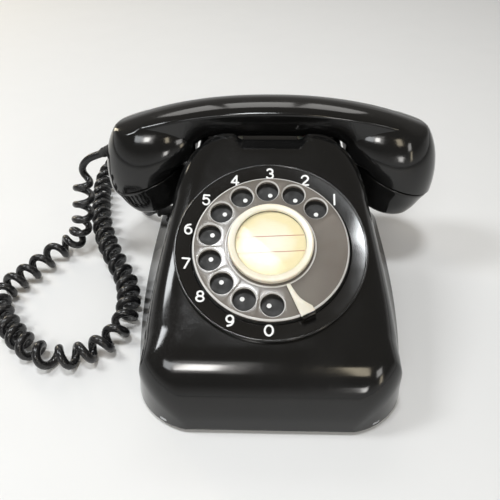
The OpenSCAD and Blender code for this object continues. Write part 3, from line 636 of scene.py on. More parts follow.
def cradle_rows():
    """The cradle's channel as (y, height of the cut): round lip, wall, fillet, floor and back up."""
    front, back = CRADLE_Y - CRADLE_HALF, CRADLE_Y + CRADLE_HALF
    lip, fillet = EDGE_R, 2.5
    rows = [(front - lip + lip * sin(a), LIP_Z - lip + lip * cos(a)) for a in span(0, pi / 2, 5)]
    rows += [(front + 0.05 * i, z) for i, z in enumerate(span(LIP_Z - lip - 2, CRADLE_FLOOR + 3, 3))]
    rows += [(front + 0.2 + fillet * (1 - cos(a)), CRADLE_FLOOR + fillet * (1 - sin(a)))
             for a in span(0, pi / 2, 4)]
    floor = [(y, CRADLE_FLOOR) for y in span(front + 4.5, back - 4.5, 14)]
    return rows + floor + [(2 * CRADLE_Y - y, z) for y, z in reversed(rows)]


def case_rows():
    """Every section of the outside as (y, top, cut), with the channel's own rows set in."""
    channel = cradle_rows()
    first, last = channel[0][0], channel[-1][0]
    body = case_profile(0.0, LIP_Z, 1.6)
    before = [(y, z, None) for y, z in body if y < first - 0.4]
    after = [(y, z, None) for y, z in body if y > last + 0.4]
    return before + [(y, LIP_Z, z) for y, z in channel] + after


def case_ring(y, z_top, z_cut, z_low, t, dips):
    right = []
    for i, p in enumerate(half_row(y, z_top, z_low, t, z_cut)):
        z = p.y
        if dips and i > FLANK + SHOULDER and y > 20:
            z = soft_min(z, lip_dip(p.x, y), 1.0)
        right.append((p.x, y, z))
    return right + [(-x, y, z) for x, y, z in reversed(right[:-1])]


def case_solid(name, t, z_low, rows, dips):
    rings = [case_ring(y, top, z_cut, z_low, t, dips) for y, top, z_cut in rows]
    return lofted(name, rings, "case")


def hand_hold_tool():
    """The recess in the back, with its mouth opening out a little."""
    rings = []
    for back, g in ((-20, -4), (-19, -1.5), (-15, 0), (-10.5, 0), (-9.3, 0.4), (12, 7.2)):
        corners = [(36 + g, 56 - g, 4), (32 + g, 80 + g, 4), (-32 - g, 80 + g, 4), (-36 - g, 56 - g, 4)]
        start = (0, 56 - g)
        ring = rounded([start, *corners, start], 5)[:-1]
        rings.append([(x, CASE_BACK + back, z) for x, z in ring])
    return lofted("tool", rings, "case")


def make_case():
    """The moulded case, hollow, with its openings for the dial, the plungers and the two cords."""
    outer = case_solid("case_shell", 0.0, RIM_Z, case_rows(), True)
    inner_rows = [(y, min(z, CEILING), None) for y, z in case_profile(WALL, CEILING, 6.0)]
    inner = case_solid("inner", WALL, RIM_Z - 1, inner_rows, False)
    # solid stock that the hand hold is cut into
    stock = ((-42, 50), (42, 50), (38, 86), (-38, 86))
    cut(inner, [lofted("stock", [[(x, y, z) for x, z in stock] for y in (80.0, 130.0)], "case")])
    dial = cylinder_tool(50.0, 30.0, on_dial(-8), 128)
    wells = [cylinder_tool(PLUNGER_R + 0.3, 20, moved(s * PLUNGER_X, CRADLE_Y, 78)) for s in (-1, 1)]
    cord = cylinder_tool(4.0, 20, moved(-BASE_HALF - 5, *GROMMET[1:]) @ turned(pi / 2, "Y"))
    line = cylinder_tool(5.0, 30, moved(GLAND_X, 84, GLAND_Z) @ turned(-pi / 2, "X"))
    cut(outer, [inner, hand_hold_tool(), dial, *wells, cord, line])
    cut(outer, [make_seats()], "UNION")
    finish_mesh(outer, "case", 28)
    built(outer, "root", "case_black", "housing")


# ---- handset


def handle_top(x):
    return HANDSET_TOP - 11.3 * (abs(x) / 83) ** 2.2


def arch_drop(a):
    return 0.6 * (a / ARCH_X) ** 2 if a < ARCH_X else 0.6 + 19.4 * ((a - ARCH_X) / 20.6) ** 1.7


def handle_low(x):
    a = abs(x)
    inside = 0 if a < 50 else SEAM_Z + (CUP_X - a) * tan(CUP_LEAN) + 7
    return max(HANDLE_BELLY - arch_drop(a), inside)


def handle_w(x):
    """Half width of the handle, closing in over the cups so that its ridges run on to their ends."""
    a = max(0.0, abs(x) - 62) / 40
    return HANDLE_HALF * sqrt(max(0.02, 1 - a ** 3))


def handle_ring(x):
    """A section of the handle: a flat grip with a rounded keel underneath and a low crowned top."""
    top, low = handle_top(x), handle_low(x)
    ridge = top - CROWN
    deep, w = ridge - low, handle_w(x)
    k = ease((abs(x) - 36) / 22)
    half = [(0, low), (w * lerp(0.42, 0.36, k), low), (w * lerp(0.7, 0.66, k), low + 0.07 * deep),
            (w * lerp(0.86, 0.84, k), low + 0.22 * deep), (w * 0.95, low + 0.5 * deep), (w - 0.1, ridge - 1.6),
            (w - 0.5, ridge - 0.3), (w - 1.5, ridge + 0.4), (w * 0.66, ridge + CROWN * 0.62),
            (w * 0.33, ridge + CROWN * 0.9), (0, top)]
    side = resample(smooth_line(half[:6], 8), 26)
    edge = resample(smooth_line(half[5:8], 6), 10)
    crown = resample(smooth_line(half[7:], 6), 16)
    half = side + edge[1:] + crown[1:]
    right = [(x, HANDSET_Y + p.x, p.y) for p in half]
    return right + [(x, HANDSET_Y - p.x, p.y) for p in reversed(half[1:-1])]


def smooth_line(points, n):
    """Points on a spline through the given ones."""
    points = [Vector(p) for p in points]
    out = []
    last = len(points) - 1
    for i in range(last):
        a, b = points[max(i - 1, 0)], points[i]
        c, d = points[i + 1], points[min(i + 2, last)]
        for k in range(n):
            t = k / n
            out.append(0.5 * (2 * b + (c - a) * t + (2 * a - 5 * b + 4 * c - d) * t * t
                              + (3 * b - a - 3 * c + d) * t * t * t))
    return out + [points[-1].copy()]


def cup_mesh(side):
    """The cup: meridians from the seam plane up, held under the crest line."""
    steps, rows = 144, 60
    groove, seam_step = 1.1, 0.9  # the seam is cut back by the first over a height of the second

    def point(angle, lift):
        across = CUP_R * cos(lift)
        return across * cos(angle), across * sin(angle), CUP_RISE * sin(lift)

    def on_row(j, angle):
        start = -atan(CUP_R * cos(angle) * tan(CUP_LEAN) / CUP_RISE)
        if j == 1:
            return point(angle, start + seam_step / CUP_RISE)
        t = j / rows
        lift = lerp(start, pi / 2, t)
        x, y, z = point(angle, lift)
        if x < 0:
            x = -soft_min(-x * (1 + CUP_FLARE * sin(lift) * ease(t / 0.16)), CUP_REACH, 3.0)
        if j == 0:
            x, y = x * (1 - groove / CUP_R), y * (1 - groove / CUP_R)
        return x, y, z

    rings = []
    for j in range(rows):
        ring = []
        for i in range(steps):
            x, y, z = on_row(j, 2 * pi * i / steps)
            wx = side * (CUP_X + x)
            top = handle_top(wx) - SEAM_Z - CROWN * min(1.0, abs(y) / HANDLE_HALF) ** 2
            ring.append((wx, HANDSET_Y + y, SEAM_Z + soft_min(z, top, 1.5)))
        rings.append(ring)
    points, faces = loft(rings, close_ends=False)
    peak, last = len(points), (rows - 1) * steps
    points.append((side * CUP_X, HANDSET_Y, handle_top(side * CUP_X)))
    faces += [(last + i, last + (i + 1) % steps, peak) for i in range(steps)]
    faces.append(tuple(range(steps - 1, -1, -1)))
    return outward(mesh_object("cup", points, faces, "handset"))


def make_handset():
    """The shell, which is the grip and both cups in one, and its two caps."""
    rings = [handle_ring(x) for x in span(-HANDLE_END, HANDLE_END, 140)]
    shell = lofted("handset_grip", rings, "handset")
    cut(shell, [cup_mesh(-1), cup_mesh(1)], "UNION")
    finish_mesh(shell, "handset", 15)
    built(shell, "handset", "handset_black", "handset_shell")
    for side, name in ((1, "receiver"), (-1, "transmitter")):
        make_cap(side, name)


def make_cap(side, name):
    """A screw-on cap, below the seam: rounded skirt, shallow dish and seven sound holes."""
    d = CAP_DEPTH
    out = rounded([
        (0, 1.6 - d), (CUP_R - 13, 1.2 - d, 3), (CUP_R - 9.2, -d, 1.6), (CUP_R - 7.2, 0.8 - d, 1.2),
        (CUP_R - 4.5, 3.5 - d, 1.5), (CUP_R - 2.3, -13.6, 6), (CUP_R - 1.2, -6, 4), (CUP_R, -1.4, 1),
        (CUP_R, 0, 0.9), (CUP_R - 1.6, 0),
    ], 5)
    inner = [(CUP_R - 2.6, 0), (CUP_R - 2.8, -1.2), (CUP_R - 4.1, -8), (CUP_R - 7, 5.2 - d), (0, 5.2 - d)]
    place = moved(side * CUP_X, HANDSET_Y, SEAM_Z) @ turned(CUP_LEAN * side, "Y")
    cap = lathe(name + "_cap_piece", out + inner, "handset", place, 144)
    hole = [(0, 0), (1.7, 0), (1.7, 1.6), (1.2, 3.2), (1.2, 9), (0, 9)]
    spots = [on_circle(8, 60 * k) for k in range(6)] + [(0, 0)]
    cut(cap, [lathe("tool", hole, "handset", place @ moved(x, y, -d - 1), 24) for x, y in spots])
    finish_mesh(cap, "handset")
    built(cap, "handset", "handset_black", name + "_cap")


def make_relief():
    """The sleeve where the cord leaves the handset, with a collar and ribs."""
    profile = [(0, 0), (RELIEF_R + 1.5, 0), (RELIEF_R + 1.5, 1.9, 0.5), (RELIEF_R + 1.1, 2.4, 0.3),
               (RELIEF_R, 2.6, 0.2), (RELIEF_R, 8.2, 0.2)]
    for k in range(3):
        r, h = RELIEF_R - 0.12 * k, 8.2 + 2.4 * k
        profile += [(r - 0.55, h + 0.25, 0.12), (r - 0.55, h + 0.95, 0.12),
                    (r - 0.06, h + 1.2, 0.15), (r - 0.1, h + 2.3, 0.15)]
    profile += [(2.75, RELIEF_LEN + 5.4, 0.5), (2.35, RELIEF_LEN + 6, 0.2), (0, RELIEF_LEN + 5.6)]
    z = RELIEF_DIR.normalized()
    x = Vector((0, 1, 0)).cross(z).normalized()
    place = with_axes(RELIEF_FROM - 6 * RELIEF_DIR, x, z.cross(x), z)
    relief = lathe("cord_relief", rounded(profile, 3), "rubber", place, 48)
    built(relief, "handset", "black_rubber", "handset_cord_relief")
    return relief


# ---- dial


def dish_h(r):
    """Height of the ring's dished face at a radius."""
    return DIGIT_H + DISH * (r - DIGIT_CIRCLE)


def two_tone(obj, material, chosen):
    """Gives a second material to the faces that the test picks."""
    obj.data.materials.append(MAT[material])
    for face in obj.data.polygons:
        if chosen(face):
            face.material_index = 1


def make_plate():
    """The number ring with its raised rim, a step into the well and fine edge lines."""
    face_in, face_out = WELL_R + 0.4, RING_R - 1.55
    profile = rounded([
        (8, -1.5), (WELL_R, -1.5), (WELL_R, -3.5), (SKIRT_R, -3.5), (SKIRT_R, -0.9), (RING_R - 0.3, -0.9, 0.2),
        (RING_R, -0.5, 0.2), (RING_R, 2.1, 0.4), (RING_R - 0.35, 2.75, 0.4), (RING_R - 0.9, 3.0, 0.35),
        (face_out, dish_h(face_out), 0.25), (face_in, dish_h(face_in), 0.2), (WELL_R + 0.1, 1.1, 0.25),
        (WELL_R - 0.25, 0.05, 0.25), (WELL_R - 1.2, 0, 0.2), (8, 0), (8, -1.5),
    ], 3)
    ring = lathe("number_plate", profile, "ring", on_dial(), 192, 32)
    flat = on_dial().inverted()
    two_tone(ring, "well", lambda face: (flat @ (face.center / MM)).xy.length < WELL_R - 0.1)
    built(ring, "root", "ring_black", "number_ring")


def arc(cx, cy, rx, ry, a0, a1, n=14):
    """Points on part of an ellipse, between two angles in degrees."""
    return [(cx + rx * cos(radians(a)), cy + ry * sin(radians(a))) for a in span(a0, a1, n)]


# Strokes of the numerals in a box 1 wide and 1.25 high, centred on 0.
NUMERALS = {
    "1": [[(0.0, 0.66), (0.0, -0.66)]],
    "2": [arc(0, 0.26, 0.40, 0.36, 165, -35) + [(-0.40, -0.62), (0.42, -0.62)]],
    "3": [arc(-0.02, 0.30, 0.36, 0.32, 150, -80), arc(-0.02, -0.29, 0.41, 0.33, 85, -150)],
    "4": [[(0.42, -0.26), (-0.44, -0.26), (0.18, 0.62), (0.18, -0.62)]],
    "5": [[(0.36, 0.62), (-0.28, 0.62), (-0.34, 0.06)] + arc(-0.02, -0.20, 0.40, 0.42, 135, -150)],
    "6": [[(0.22, 0.62)] + arc(0.10, -0.05, 0.50, 0.62, 112, 175, 6), arc(0, -0.22, 0.38, 0.40, 0, 360, 26)],
    "7": [[(-0.40, 0.62), (0.42, 0.62), (-0.10, -0.62)]],
    "8": [arc(0, 0.31, 0.33, 0.31, 0, 360, 24), arc(0, -0.29, 0.41, 0.33, 0, 360, 26)],
    "9": [arc(0, 0.22, 0.38, 0.40, 0, 360, 26), arc(-0.10, 0.05, 0.50, 0.62, -5, -68, 6) + [(-0.22, -0.62)]],
    "0": [arc(0, 0, 0.45, 0.60, 0, 360, 32)],
}


def split_at_corners(points):
    """The line as pieces that end at its sharp corners, so that each gets round ends."""
    pieces, start = [], 0
    for i in range(1, len(points) - 1):
        a = Vector(points[i]) - Vector(points[i - 1])
        b = Vector(points[i + 1]) - Vector(points[i])
        if a.angle(b) > SHARP_TURN:
            pieces.append(points[start:i + 1])
            start = i
    return pieces + [points[start:]]


def stroke(points, half, z0, z1, closed=False):
    """A flat band along a line, as points and faces."""
    points = [Vector(p) for p in points]
    last = len(points) - 1
    rings = []
    for i, p in enumerate(points):
        a = points[i - 1] if i or closed else p
        b = points[(i + 1) % len(points)] if i < last or closed else p
        t = (b - a).normalized()
        spread = 1 / max(0.55, abs((p - a).normalized().dot(t))) if i or closed else 1
        side = Vector((-t.y, t.x)) * half * min(spread, 1.5)
        left, right = p + side, p - side
        rings.append([(*left, z0), (*left, z1), (*right, z1), (*right, z0)])
    return loft(rings + rings[:1] if closed else rings, not closed)


def add_to(parts, points, faces):
    base = len(parts[0])
    parts[0].extend(points)
    parts[1].extend(tuple(base + i for i in face) for face in faces)


def disc(parts, x, y, r, z0, z1, n=16):
    ring = arc(x, y, r, r, 0, 360, n)[:-1]
    add_to(parts, *loft([[(*p, z) for p in ring] for z in (z0, z1)]))


def printed(name, parts, place, material, body):
    """A piece of ink, which stands for no node."""
    points = [place @ Vector(p) for p in parts[0]]
    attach(mesh_object(name, points, parts[1], material), body)


def make_numerals():
    """Nine digits and a nought in painted relief, and a white dot under each finger hole."""
    ink, dots = ([], []), ([], [])
    for k, name in enumerate("1234567890"):
        cx, cy = on_circle(DIGIT_CIRCLE, DIGIT_FIRST + HOLE_STEP * k)
        for line in NUMERALS[name]:
            whole = [(cx + x * DIGIT_SIZE, cy + y * DIGIT_SIZE) for x, y in line]
            if dist(whole[0], whole[-1]) < 1e-6:
                add_to(ink, *stroke(whole[:-1], INK_HALF, INK_LOW, INK_TOP, closed=True))
                continue
            for pts in split_at_corners(whole):
                add_to(ink, *stroke(pts, INK_HALF, INK_LOW, INK_TOP))
                for end in (pts[0], pts[-1]):
                    disc(ink, *end, INK_HALF, INK_LOW, INK_TOP)
        disc(dots, *on_circle(DOT_CIRCLE, DOT_FIRST + HOLE_STEP * k), DOT_R, -0.2, 0.1, 24)
    lifted = [(x, y, z + dish_h(hypot(x, y))) for x, y, z in ink[0]]
    printed("numerals", (lifted, ink[1]), on_dial(), "white", "root")
    printed("hole_dots", dots, on_dial(), "white", "root")


def make_wheel():
    """The clear finger wheel with ten chamfered holes; its chamfers and rounded edges carry a painted highlight."""
    low, top = WHEEL_LOW, WHEEL_TOP
    profile = [(6, low), (WHEEL_R - 0.6, low, 0.3), (WHEEL_R, low + 0.6, 0.3), (WHEEL_R, top - 0.9, 0.3),
               (WHEEL_R - 0.9, top, 0.4), (CARD_RING_R + 1.7, top, 0.3), (CARD_RING_R + 1.1, HUB_H, 0.3),
               (6, HUB_H), (6, low)]
    wheel = lathe("wheel", rounded(profile, 3), "acrylic", on_dial(), 192, 32)
    hole = rounded([
        (0, 0), (HOLE_R + 0.5, 0), (HOLE_R + 0.35, low + 0.05, 0.1), (HOLE_R, low + 0.5, 0.2),
        (HOLE_R, top - 0.95, 0.2), (HOLE_R + 0.55, top - 0.15, 0.3), (HOLE_R + 0.8, top + 0.2), (HOLE_R + 0.8, 8),
        (0, 8),
    ], 3)
    spots = [on_circle(HOLE_CIRCLE, HOLE_FIRST + HOLE_STEP * k) for k in range(10)]
    cut(wheel, [lathe("tool", hole, "acrylic", on_dial() @ moved(x, y, 0), 64) for x, y in spots])
    finish_mesh(wheel, "acrylic", 32)
    # painted highlight: the slanted faces of the chamfers and rounded edges get the near-white acrylic, so that they
    # read as glints
    up = on_dial().to_3x3() @ Vector((0, 0, 1))
    two_tone(wheel, "edge", lambda face: 0.2 < abs(face.normal.dot(up)) < 0.97)
    built(wheel, "dial_rotor", "clear_wheel", "finger_wheel")


def make_card():
    """The cream centre: retaining ring, domed window and a card with two thin red rules."""
    outer = CARD_RING_R
    ring = [(outer - 0.9, 0), (outer - 0.4, 0, 0.2), (outer, 1.2, 0.4), (outer, 3.7, 0.3),
            (outer - 0.35, 4.2, 0.3), (outer - 1.0, 4.3, 0.3), (19.9, 4.0, 0.3), (19.45, 3.6, 0.2),
            (19.3, 2.85, 0.1), (outer - 0.9, 2.8), (outer - 0.9, 0)]
    card = [(0, CARD_LOW), (CARD_R, CARD_LOW), (CARD_R, CARD_H), (0, CARD_H)]
    glass = [(0, 1.86), (CARD_R, 1.86), (CARD_R, 2.4), (19.0, 2.62), (14, 2.74), (8, 2.79), (0, 2.8)]
    gasket = [(19.25, 2.3), (19.7, 2.3), (19.85, 3.0), (19.4, 3.0), (19.25, 2.3)]
    place = on_dial(HUB_H)
    for name, profile, material, sharp, slot, node in (
        ("card_bezel", rounded(ring, 4), "ivory", 30, "ivory_ring", "card_ring"),
        ("card_disc", card, "card", 30, "card", "number_card"),
        ("card_glass", glass, "window", 40, "clear_window", "card_window"),
    ):
        built(lathe(name, profile, material, place, sharp=sharp), "dial_rotor", slot, node)
    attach(lathe("card_gasket", gasket, "rubber", place), "dial_rotor")
    parts = ([], [])
    for ends in (((-18.7, 3.1), (18.1, 5.1)), ((-18.4, -6.5), (18.3, -4.3))):
        add_to(parts, *stroke(ends, 0.2, CARD_H - 0.05, CARD_H + 0.04))
    printed("card_rules", parts, place, "red", "dial_rotor")


def make_stop():
    """The finger stop: an ivory blade over the wheel, waisted on one side, in a black foot on the ring."""
    place = on_dial() @ turned(radians(STOP_ANGLE), "Z")
    outline = [(24.9, -3.5), (34, -4.0), (44.2, -4.52), (44.25, 3.3), (41.15, 3.31), (39.5, 2.24), (38.3, 1.48),
               (37.1, 0.78), (36.0, 0.2), (34.9, -0.27), (33.5, -0.63), (32, -0.93), (30.6, -1.12),
               (29.2, -1.24), (27.4, -1.36), (26.2, -1.38), (25.6, -1.35)]
    top, n = STOP_H + STOP_T, len(outline)
    rings = []
    levels = ((STOP_H, 0.2), (STOP_H + 0.1, 0.05), (STOP_H + 0.25, 0), (top - 0.2, 0), (top - 0.05, 0.06), (top, 0.2))
    for z, inset in levels:
        ring = []
        for i, (x, y) in enumerate(outline):
            t = (Vector(outline[(i + 1) % n]) - Vector(outline[i - 1])).normalized()
            ring.append(place @ Vector((x - t.y * inset, y + t.x * inset, z)))
        rings.append(ring)
    built(lofted("stop_blade", rings, "stop", 40), "root", "ivory_stop", "finger_stop")
    rings = []
    for z, g in ((1.3, 0.3), (1.8, 0.0), (top - 0.35, 0.0), (top - 0.1, -0.25), (top, -0.5)):
        start = (43.75, 0)
        box = [(43.75, -4.6 - g, 0.3), (45.5 + g, -4.4 - g, 0.6), (45.5 + g, 3.4 + g, 0.6), (43.75, 3.5 + g, 0.3)]
        rings.append([place @ Vector((x, y, z)) for x, y in rounded([start, *box, start], 3)[:-1]])
    built(lofted("stop_foot", rings, "ring", 40), "root", "ring_black")


# ---- small pieces


def one_piece(name, parts, material):
    """Joins several closed meshes into one object."""
    whole = ([], [])
    for points, faces in parts:
        add_to(whole, points, faces)
    return outward(mesh_object(name, *whole, material))


def make_plungers():
    """The two hook plungers with domed tops and a collar under the cradle."""
    r, top = PLUNGER_R, PLUNGER_TOP
    profile = rounded([
        (0, PLUNGER_FOOT), (2.5, PLUNGER_FOOT, 0.4), (2.5, COLLAR_Z, 0.3), (r + 2, COLLAR_Z, 0.3),
        (r + 2, COLLAR_Z + COLLAR_T, 0.3), (r, COLLAR_Z + COLLAR_T, 0.2), (r, top - 0.7, 1.1), (r - 1.5, top, 1.0),
        (0, top),
    ], 5)
    both = [revolve(profile, 48, moved(s * PLUNGER_X, CRADLE_Y, 0)) for s in (-1, 1)]
    built(one_piece("cradle_plungers", both, "stop"), "plungers", "ivory_stop", "hook_plungers")


def make_feet():
    """Four rubber feet with a ribbed rim and a snap neck through the base plate."""
    profile = rounded([
        (0, 0.5), (4.4, 0.5, 0.3), (5.0, 0, 0.3), (8.0, 0, 0.6), (9, 1.2, 0.5), (9, 4.4, 0.4), (4, 4.4), (4, 6),
        (5.5, 6, 0.3), (5.0, 8.5, 0.6), (0, 8.5),
    ], 4)
    feet = [revolve(profile, 56, moved(s * x, y, 0)) for x, y in FEET for s in (-1, 1)]
    built(one_piece("feet", feet, "rubber"), "root", "black_rubber", "rubber_feet")


def make_grommets():
    """Rounded rubber rings where the two cords enter the case."""
    bore = LEAD_D / 2 + 0.15
    ring = [(bore, 0), (4.4, 0, 0.6), (5.2, 0.7, 0.5), (5.2, 2.2, 0.4), (3.9, 2.2, 0.1), (3.9, 20),
            (bore, 20), (bore, 0.4, 0.3), (bore, 0)]
    gland = [(2.6, 0), (4.3, 0, 0.5), (4.9, 0.6, 0.5), (4.9, 6.4, 0.1), (7, 6.4, 0.4), (7, 9.4, 0.4),
             (2.6, 9.4), (2.6, 0)]
    gland_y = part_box("line_cord_gland")[1].y / MM
    for name, profile, place, node in (
        ("grommet", ring, moved(*GROMMET) @ turned(pi / 2, "Y"), "cord_grommet"),
        ("line_gland", gland, moved(GLAND_X, gland_y, GLAND_Z) @ turned(pi / 2, "X"), "line_cord_gland"),
    ):
        built(lathe(name, rounded(profile, 4), "rubber", place, 56), "root", "black_rubber", node)


def make_seats():
    """Two low pads in the cradle that the handset rests on."""
    x0, x1 = SEAT_X, SEAT_X + SEAT_W
    y0, y1 = CRADLE_Y - SEAT_LEN / 2, CRADLE_Y + SEAT_LEN / 2
    parts = []
    for side in (-1, 1):
        rings = []
        for z, g in ((CRADLE_FLOOR - 0.4, 1.2), (CRADLE_FLOOR + 0.3, 0.25), (CRADLE_FLOOR + 0.9, 0.0),
                     (SEAT_Z - 0.9, 0.0), (SEAT_Z - 0.25, -0.25), (SEAT_Z, -0.9)):
            start = (x0 + 3, y0 - g)
            box = [(x1 + g, y0 - g, 1.6), (x1 + g, y1 + g, 1.6), (x0 - g, y1 + g, 1.6), (x0 - g, y0 - g, 1.6)]
            rings.append([(side * x, y, z) for x, y in rounded([start, *box, start], 4)[:-1]])
        parts.append(loft(rings))
    return one_piece("seats", parts, "case")


# ---- cord

COIL_LOW = 8.1  # height of the coil's middle where it lies
COIL_HANGS = [
    (-129.5, 57, 60), (-130.5, 54.5, 52), (-132, 51.5, 42), (-134, 48.5, 31), (-137.5, 46, 20), (-142.5, 44, 12),
    (-149, 41, 8.2),
]
COIL_LIES = [
    (-154.5, 35), (-159, 26), (-164, 17), (-169, 8), (-174, 0), (-177.4, -8), (-176.8, -17), (-171, -27),
    (-163, -37), (-152.5, -48), (-142, -56), (-132, -60.8), (-121, -61.6), (-110.5, -58.6), (-101.5, -52.5),
    (-95, -44), (-91.6, -34), (-90.8, -24), (-92.5, -11), (-97, 3), (-104, 16), (-112, 30), (-119.5, 44),
    (-126, 59), (-131.5, 75), (-136, 93), (-139.5, 109), (-141.5, 125), (-142, 140), (-139.5, 155), (-131, 167),
    (-120.5, 170),
]
COIL_END = (-111, 165, 8)
COIL_ROUTE = COIL_HANGS + [(x, y, COIL_LOW) for x, y in COIL_LIES] + [COIL_END]
TAIL_ROUTE = [
    COIL_END, (-106.5, 157, 4.4), (-104, 140, 2.8), (-105, 118, 2.8), (-103.5, 98, 2.8), (-97, 87, 4.8),
    (-92.5, 83, 9), GROMMET, (-BASE_HALF + 12, 82, 11),
]


def frames(line):
    """Directions across a line that turn with it without twisting."""
    out = []
    side = Vector((0, 1, 0))
    for i in range(len(line)):
        t = (line[min(i + 1, len(line) - 1)] - line[max(i - 1, 0)]).normalized()
        side = (side - t * side.dot(t)).normalized()
        out.append((side.copy(), t.cross(side)))
    return out


def soften(line, at, reach=14, rounds=60):
    """Ease the bend where two stretches of a line meet, fading out along both."""
    for _ in range(rounds):
        for i in range(at - reach, at + reach + 1):
            share = 0.5 * (1 - (abs(i - at) / (reach + 1)) ** 2)
            line[i] = line[i].lerp((line[i - 1] + line[i + 1]) / 2, share)


def line_length(line):
    return sum((b - a).length for a, b in zip(line, line[1:]))


def cord_line():
    """The wire's own centreline in mm: a straight lead, the coil, and a straight tail into the case."""
    end = RELIEF_FROM + RELIEF_LEN * RELIEF_DIR
    lead = [end - 2 * RELIEF_DIR, end + 0.4 * RELIEF_DIR]
    lead += [(-120.9, 58, 73.2), (-126, 58, 70.4), (-130.2, 58, 66.2), (-132.1, 57.6, 62.4)]
    lead = smooth_line(lead, 6)[:-1]
    axis = smooth_line(COIL_ROUTE, 40)
    turns = round(line_length(axis) / PITCH)
    axis = resample(axis, turns * TURN_POINTS)
    wide = COIL_D / 2 - LEAD_D / 2 - 0.05
    coil = []
    for i, (p, (u, v)) in enumerate(zip(axis, frames(axis))):
        s = i / TURN_POINTS
        r = wide * lerp(0.72, 1.0, ease(s / 0.6)) * ease((turns - s) / 1.1)
        # the turns vary a little in width and spacing
        r += 0.15 * sin(s * 0.9) * ease(s / 2) * ease((turns - s) / 2) - 0.15
        a = 2 * pi * (s - 0.25) + 0.9 * sin(s * 0.55) + 0.6 * (sin(s * 1.31 + 1) - sin(1))
        coil.append(p + (u * cos(a) + v * sin(a)) * max(r, 0))
    tail = smooth_line(TAIL_ROUTE, 8)[1:]
    line = lead + coil + tail
    soften(line, len(lead))
    soften(line, len(lead) + len(coil))
    return line


def make_cord(relief):
    line = cord_line()
    around = [on_circle(LEAD_D / 2, 360 * k / CORD_SIDES) for k in range(CORD_SIDES)]
    rings = [[p + u * a + v * b for a, b in around] for p, (u, v) in zip(line, frames(line))]
    cord = lofted("handset_cord", rings, "cord", 60)
    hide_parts("handset_cord_lead", "handset_cord_coil", "handset_cord_tail")
    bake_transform(cord)


# ---- CAD nodes that keep their solids

CARRIED = {
    "zinc": "base_plate dial_frame dial_bridge dial_bracket hook_lever hook_bracket transmitter_capsule",
    "steel": "case_screws return_spring dial_shaft governor_shaft hook_pivot_pin gong_posts clapper_pin",
    "brass": "dial_posts spring_post governor_cup governor_bearing main_gear pinion_shaft gong_screws clapper"
             " terminal_screws",
    "alloy": "impulse_contacts hook_contacts capsule_contacts",
    "phenolic": "impulse_cam terminal_board",
    "iron": "ringer_frame induction_coil",
    "can": "capacitor receiver_capsule",
    "plated": "card_holder",
    "bell": "gongs",
    "winding": "ringer_coils",
}


def dress_nodes():
    for material, names in CARRIED.items():
        for name in names.split():
            paint(bpy.data.objects[name].data, material)


# ---- floor, light and background


def make_floor():
    points, faces = revolve([(0, 0), (60, 0), (400, 0), (1500, 0), (6000, 0)], 96)
    mesh_object("floor", points, faces, "floor")


SEEN, LIT, LIT_LEVEL = (0.93, 0.93, 0.92), (0.86, 0.84, 0.82), 0.16
# what a reflection meets, from level with the table to straight up
MIRRORED = ((0.0, (0.80, 0.80, 0.79)), (0.10, (0.62, 0.61, 0.59)), (0.30, (0.20, 0.19, 0.175)),
            (1.0, (0.22, 0.20, 0.17)))


def make_world():
    """Pale to the camera and in reflections from low down, dimmer as a light."""
    world = bpy.data.worlds.new("world")
    bpy.context.scene.world = world
    n = Tree(world)
    ray = n.add("ShaderNodeLightPath").outputs
    split = n.add("ShaderNodeSeparateXYZ")
    n.link(n.add("ShaderNodeTexCoord").outputs["Generated"], split.inputs[0])

    def background(colour, level=1.0):
        node = n.add("ShaderNodeBackground")
        n.feed(node.inputs["Color"], colour)
        n.feed(node.inputs["Strength"], level)
        return node.outputs[0]

    def choice(flag, no, yes):
        node = n.add("ShaderNodeMixShader")
        for socket, value in zip(node.inputs, (ray[flag], no, yes)):
            n.link(value, socket)
        return node.outputs[0]

    mirror = background(n.ramp(split.outputs["Z"], MIRRORED))
    unseen = choice("Is Glossy Ray", background(LIT, LIT_LEVEL), mirror)
    n.link(choice("Is Camera Ray", unseen, background(SEEN)), n.add("ShaderNodeOutputWorld").inputs[0])


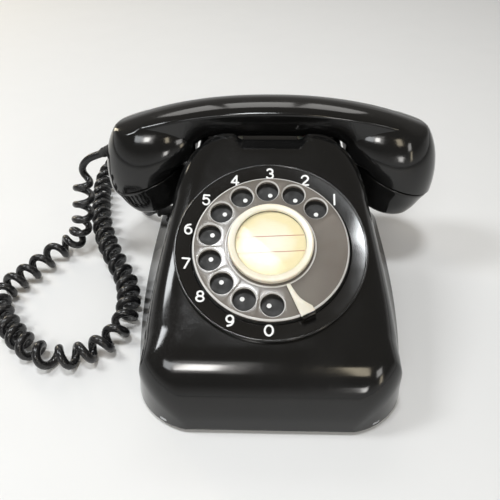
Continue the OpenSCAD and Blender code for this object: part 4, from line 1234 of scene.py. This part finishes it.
LAMPS = (
    # name, place, width, height, watts, tint
    ("window_top", (-0.09, -0.10, 1.52), 0.26, 0.20, 8.4, "cool"),
    ("window_left", (-0.86, 0.06, 1.12), 0.30, 0.40, 6.6, "cool"),
    ("window_front", (-0.20, -1.06, 1.02), 0.13, 0.22, 2.4, "white"),
    ("window_front_glow", (-0.17, -1.06, 1.04), 0.26, 0.44, 0.8, "white"),
    ("lamp_front", (0.30, -1.06, 0.92), 0.10, 0.30, 0.7, "warm"),
    ("lamp_corner", (0.84, -1.06, 0.36), 0.12, 0.30, 0.6, "warm"),
    ("window_back_l", (-0.50, 1.15, 1.05), 0.40, 0.42, 1.2, "white"),
    ("window_back_m", (-0.05, 1.15, 1.05), 0.40, 0.42, 1.2, "white"),
    ("window_back_r", (0.40, 1.15, 1.05), 0.40, 0.42, 1.2, "white"),
    ("window_cup_l", (-0.42, -0.98, 1.00), 0.26, 0.30, 1.7, "cool"),
    ("window_cup_r", (0.62, -0.90, 0.62), 0.20, 0.24, 0.9, "white"),
    ("window_low_r", (0.34, -1.30, 0.32), 0.12, 0.16, 0.8, "white"),
    ("lamp_left", (-0.93, 0.85, 0.38), 0.20, 0.50, 2.4, "warm"),
)
TINTS = {"white": (1.0, 0.98, 0.95), "warm": (1.0, 0.88, 0.66), "cool": (0.95, 0.98, 1.0)}
AIM = Vector((0, 0, 0.05))


def make_lights():
    for name, place, width, height, watts, tint in LAMPS:
        data = bpy.data.lights.new(name, "AREA")
        data.shape = "RECTANGLE"
        data.size, data.size_y = width, height
        data.energy = watts
        data.color = TINTS[tint]
        light = bpy.data.objects.new(name, data)
        light.location = place
        light.rotation_mode = "QUATERNION"
        light.rotation_quaternion = (AIM - Vector(place)).to_track_quat("-Z", "Y")
        in_scene(light)


# ---- build

make_cord(make_relief())
make_case()
make_handset()
make_plate()
make_numerals()
make_wheel()
make_card()
make_stop()
make_plungers()
make_feet()
make_grommets()
dress_nodes()
make_floor()
make_lights()
make_world()
bpy.context.scene.view_settings.view_transform = "Standard"
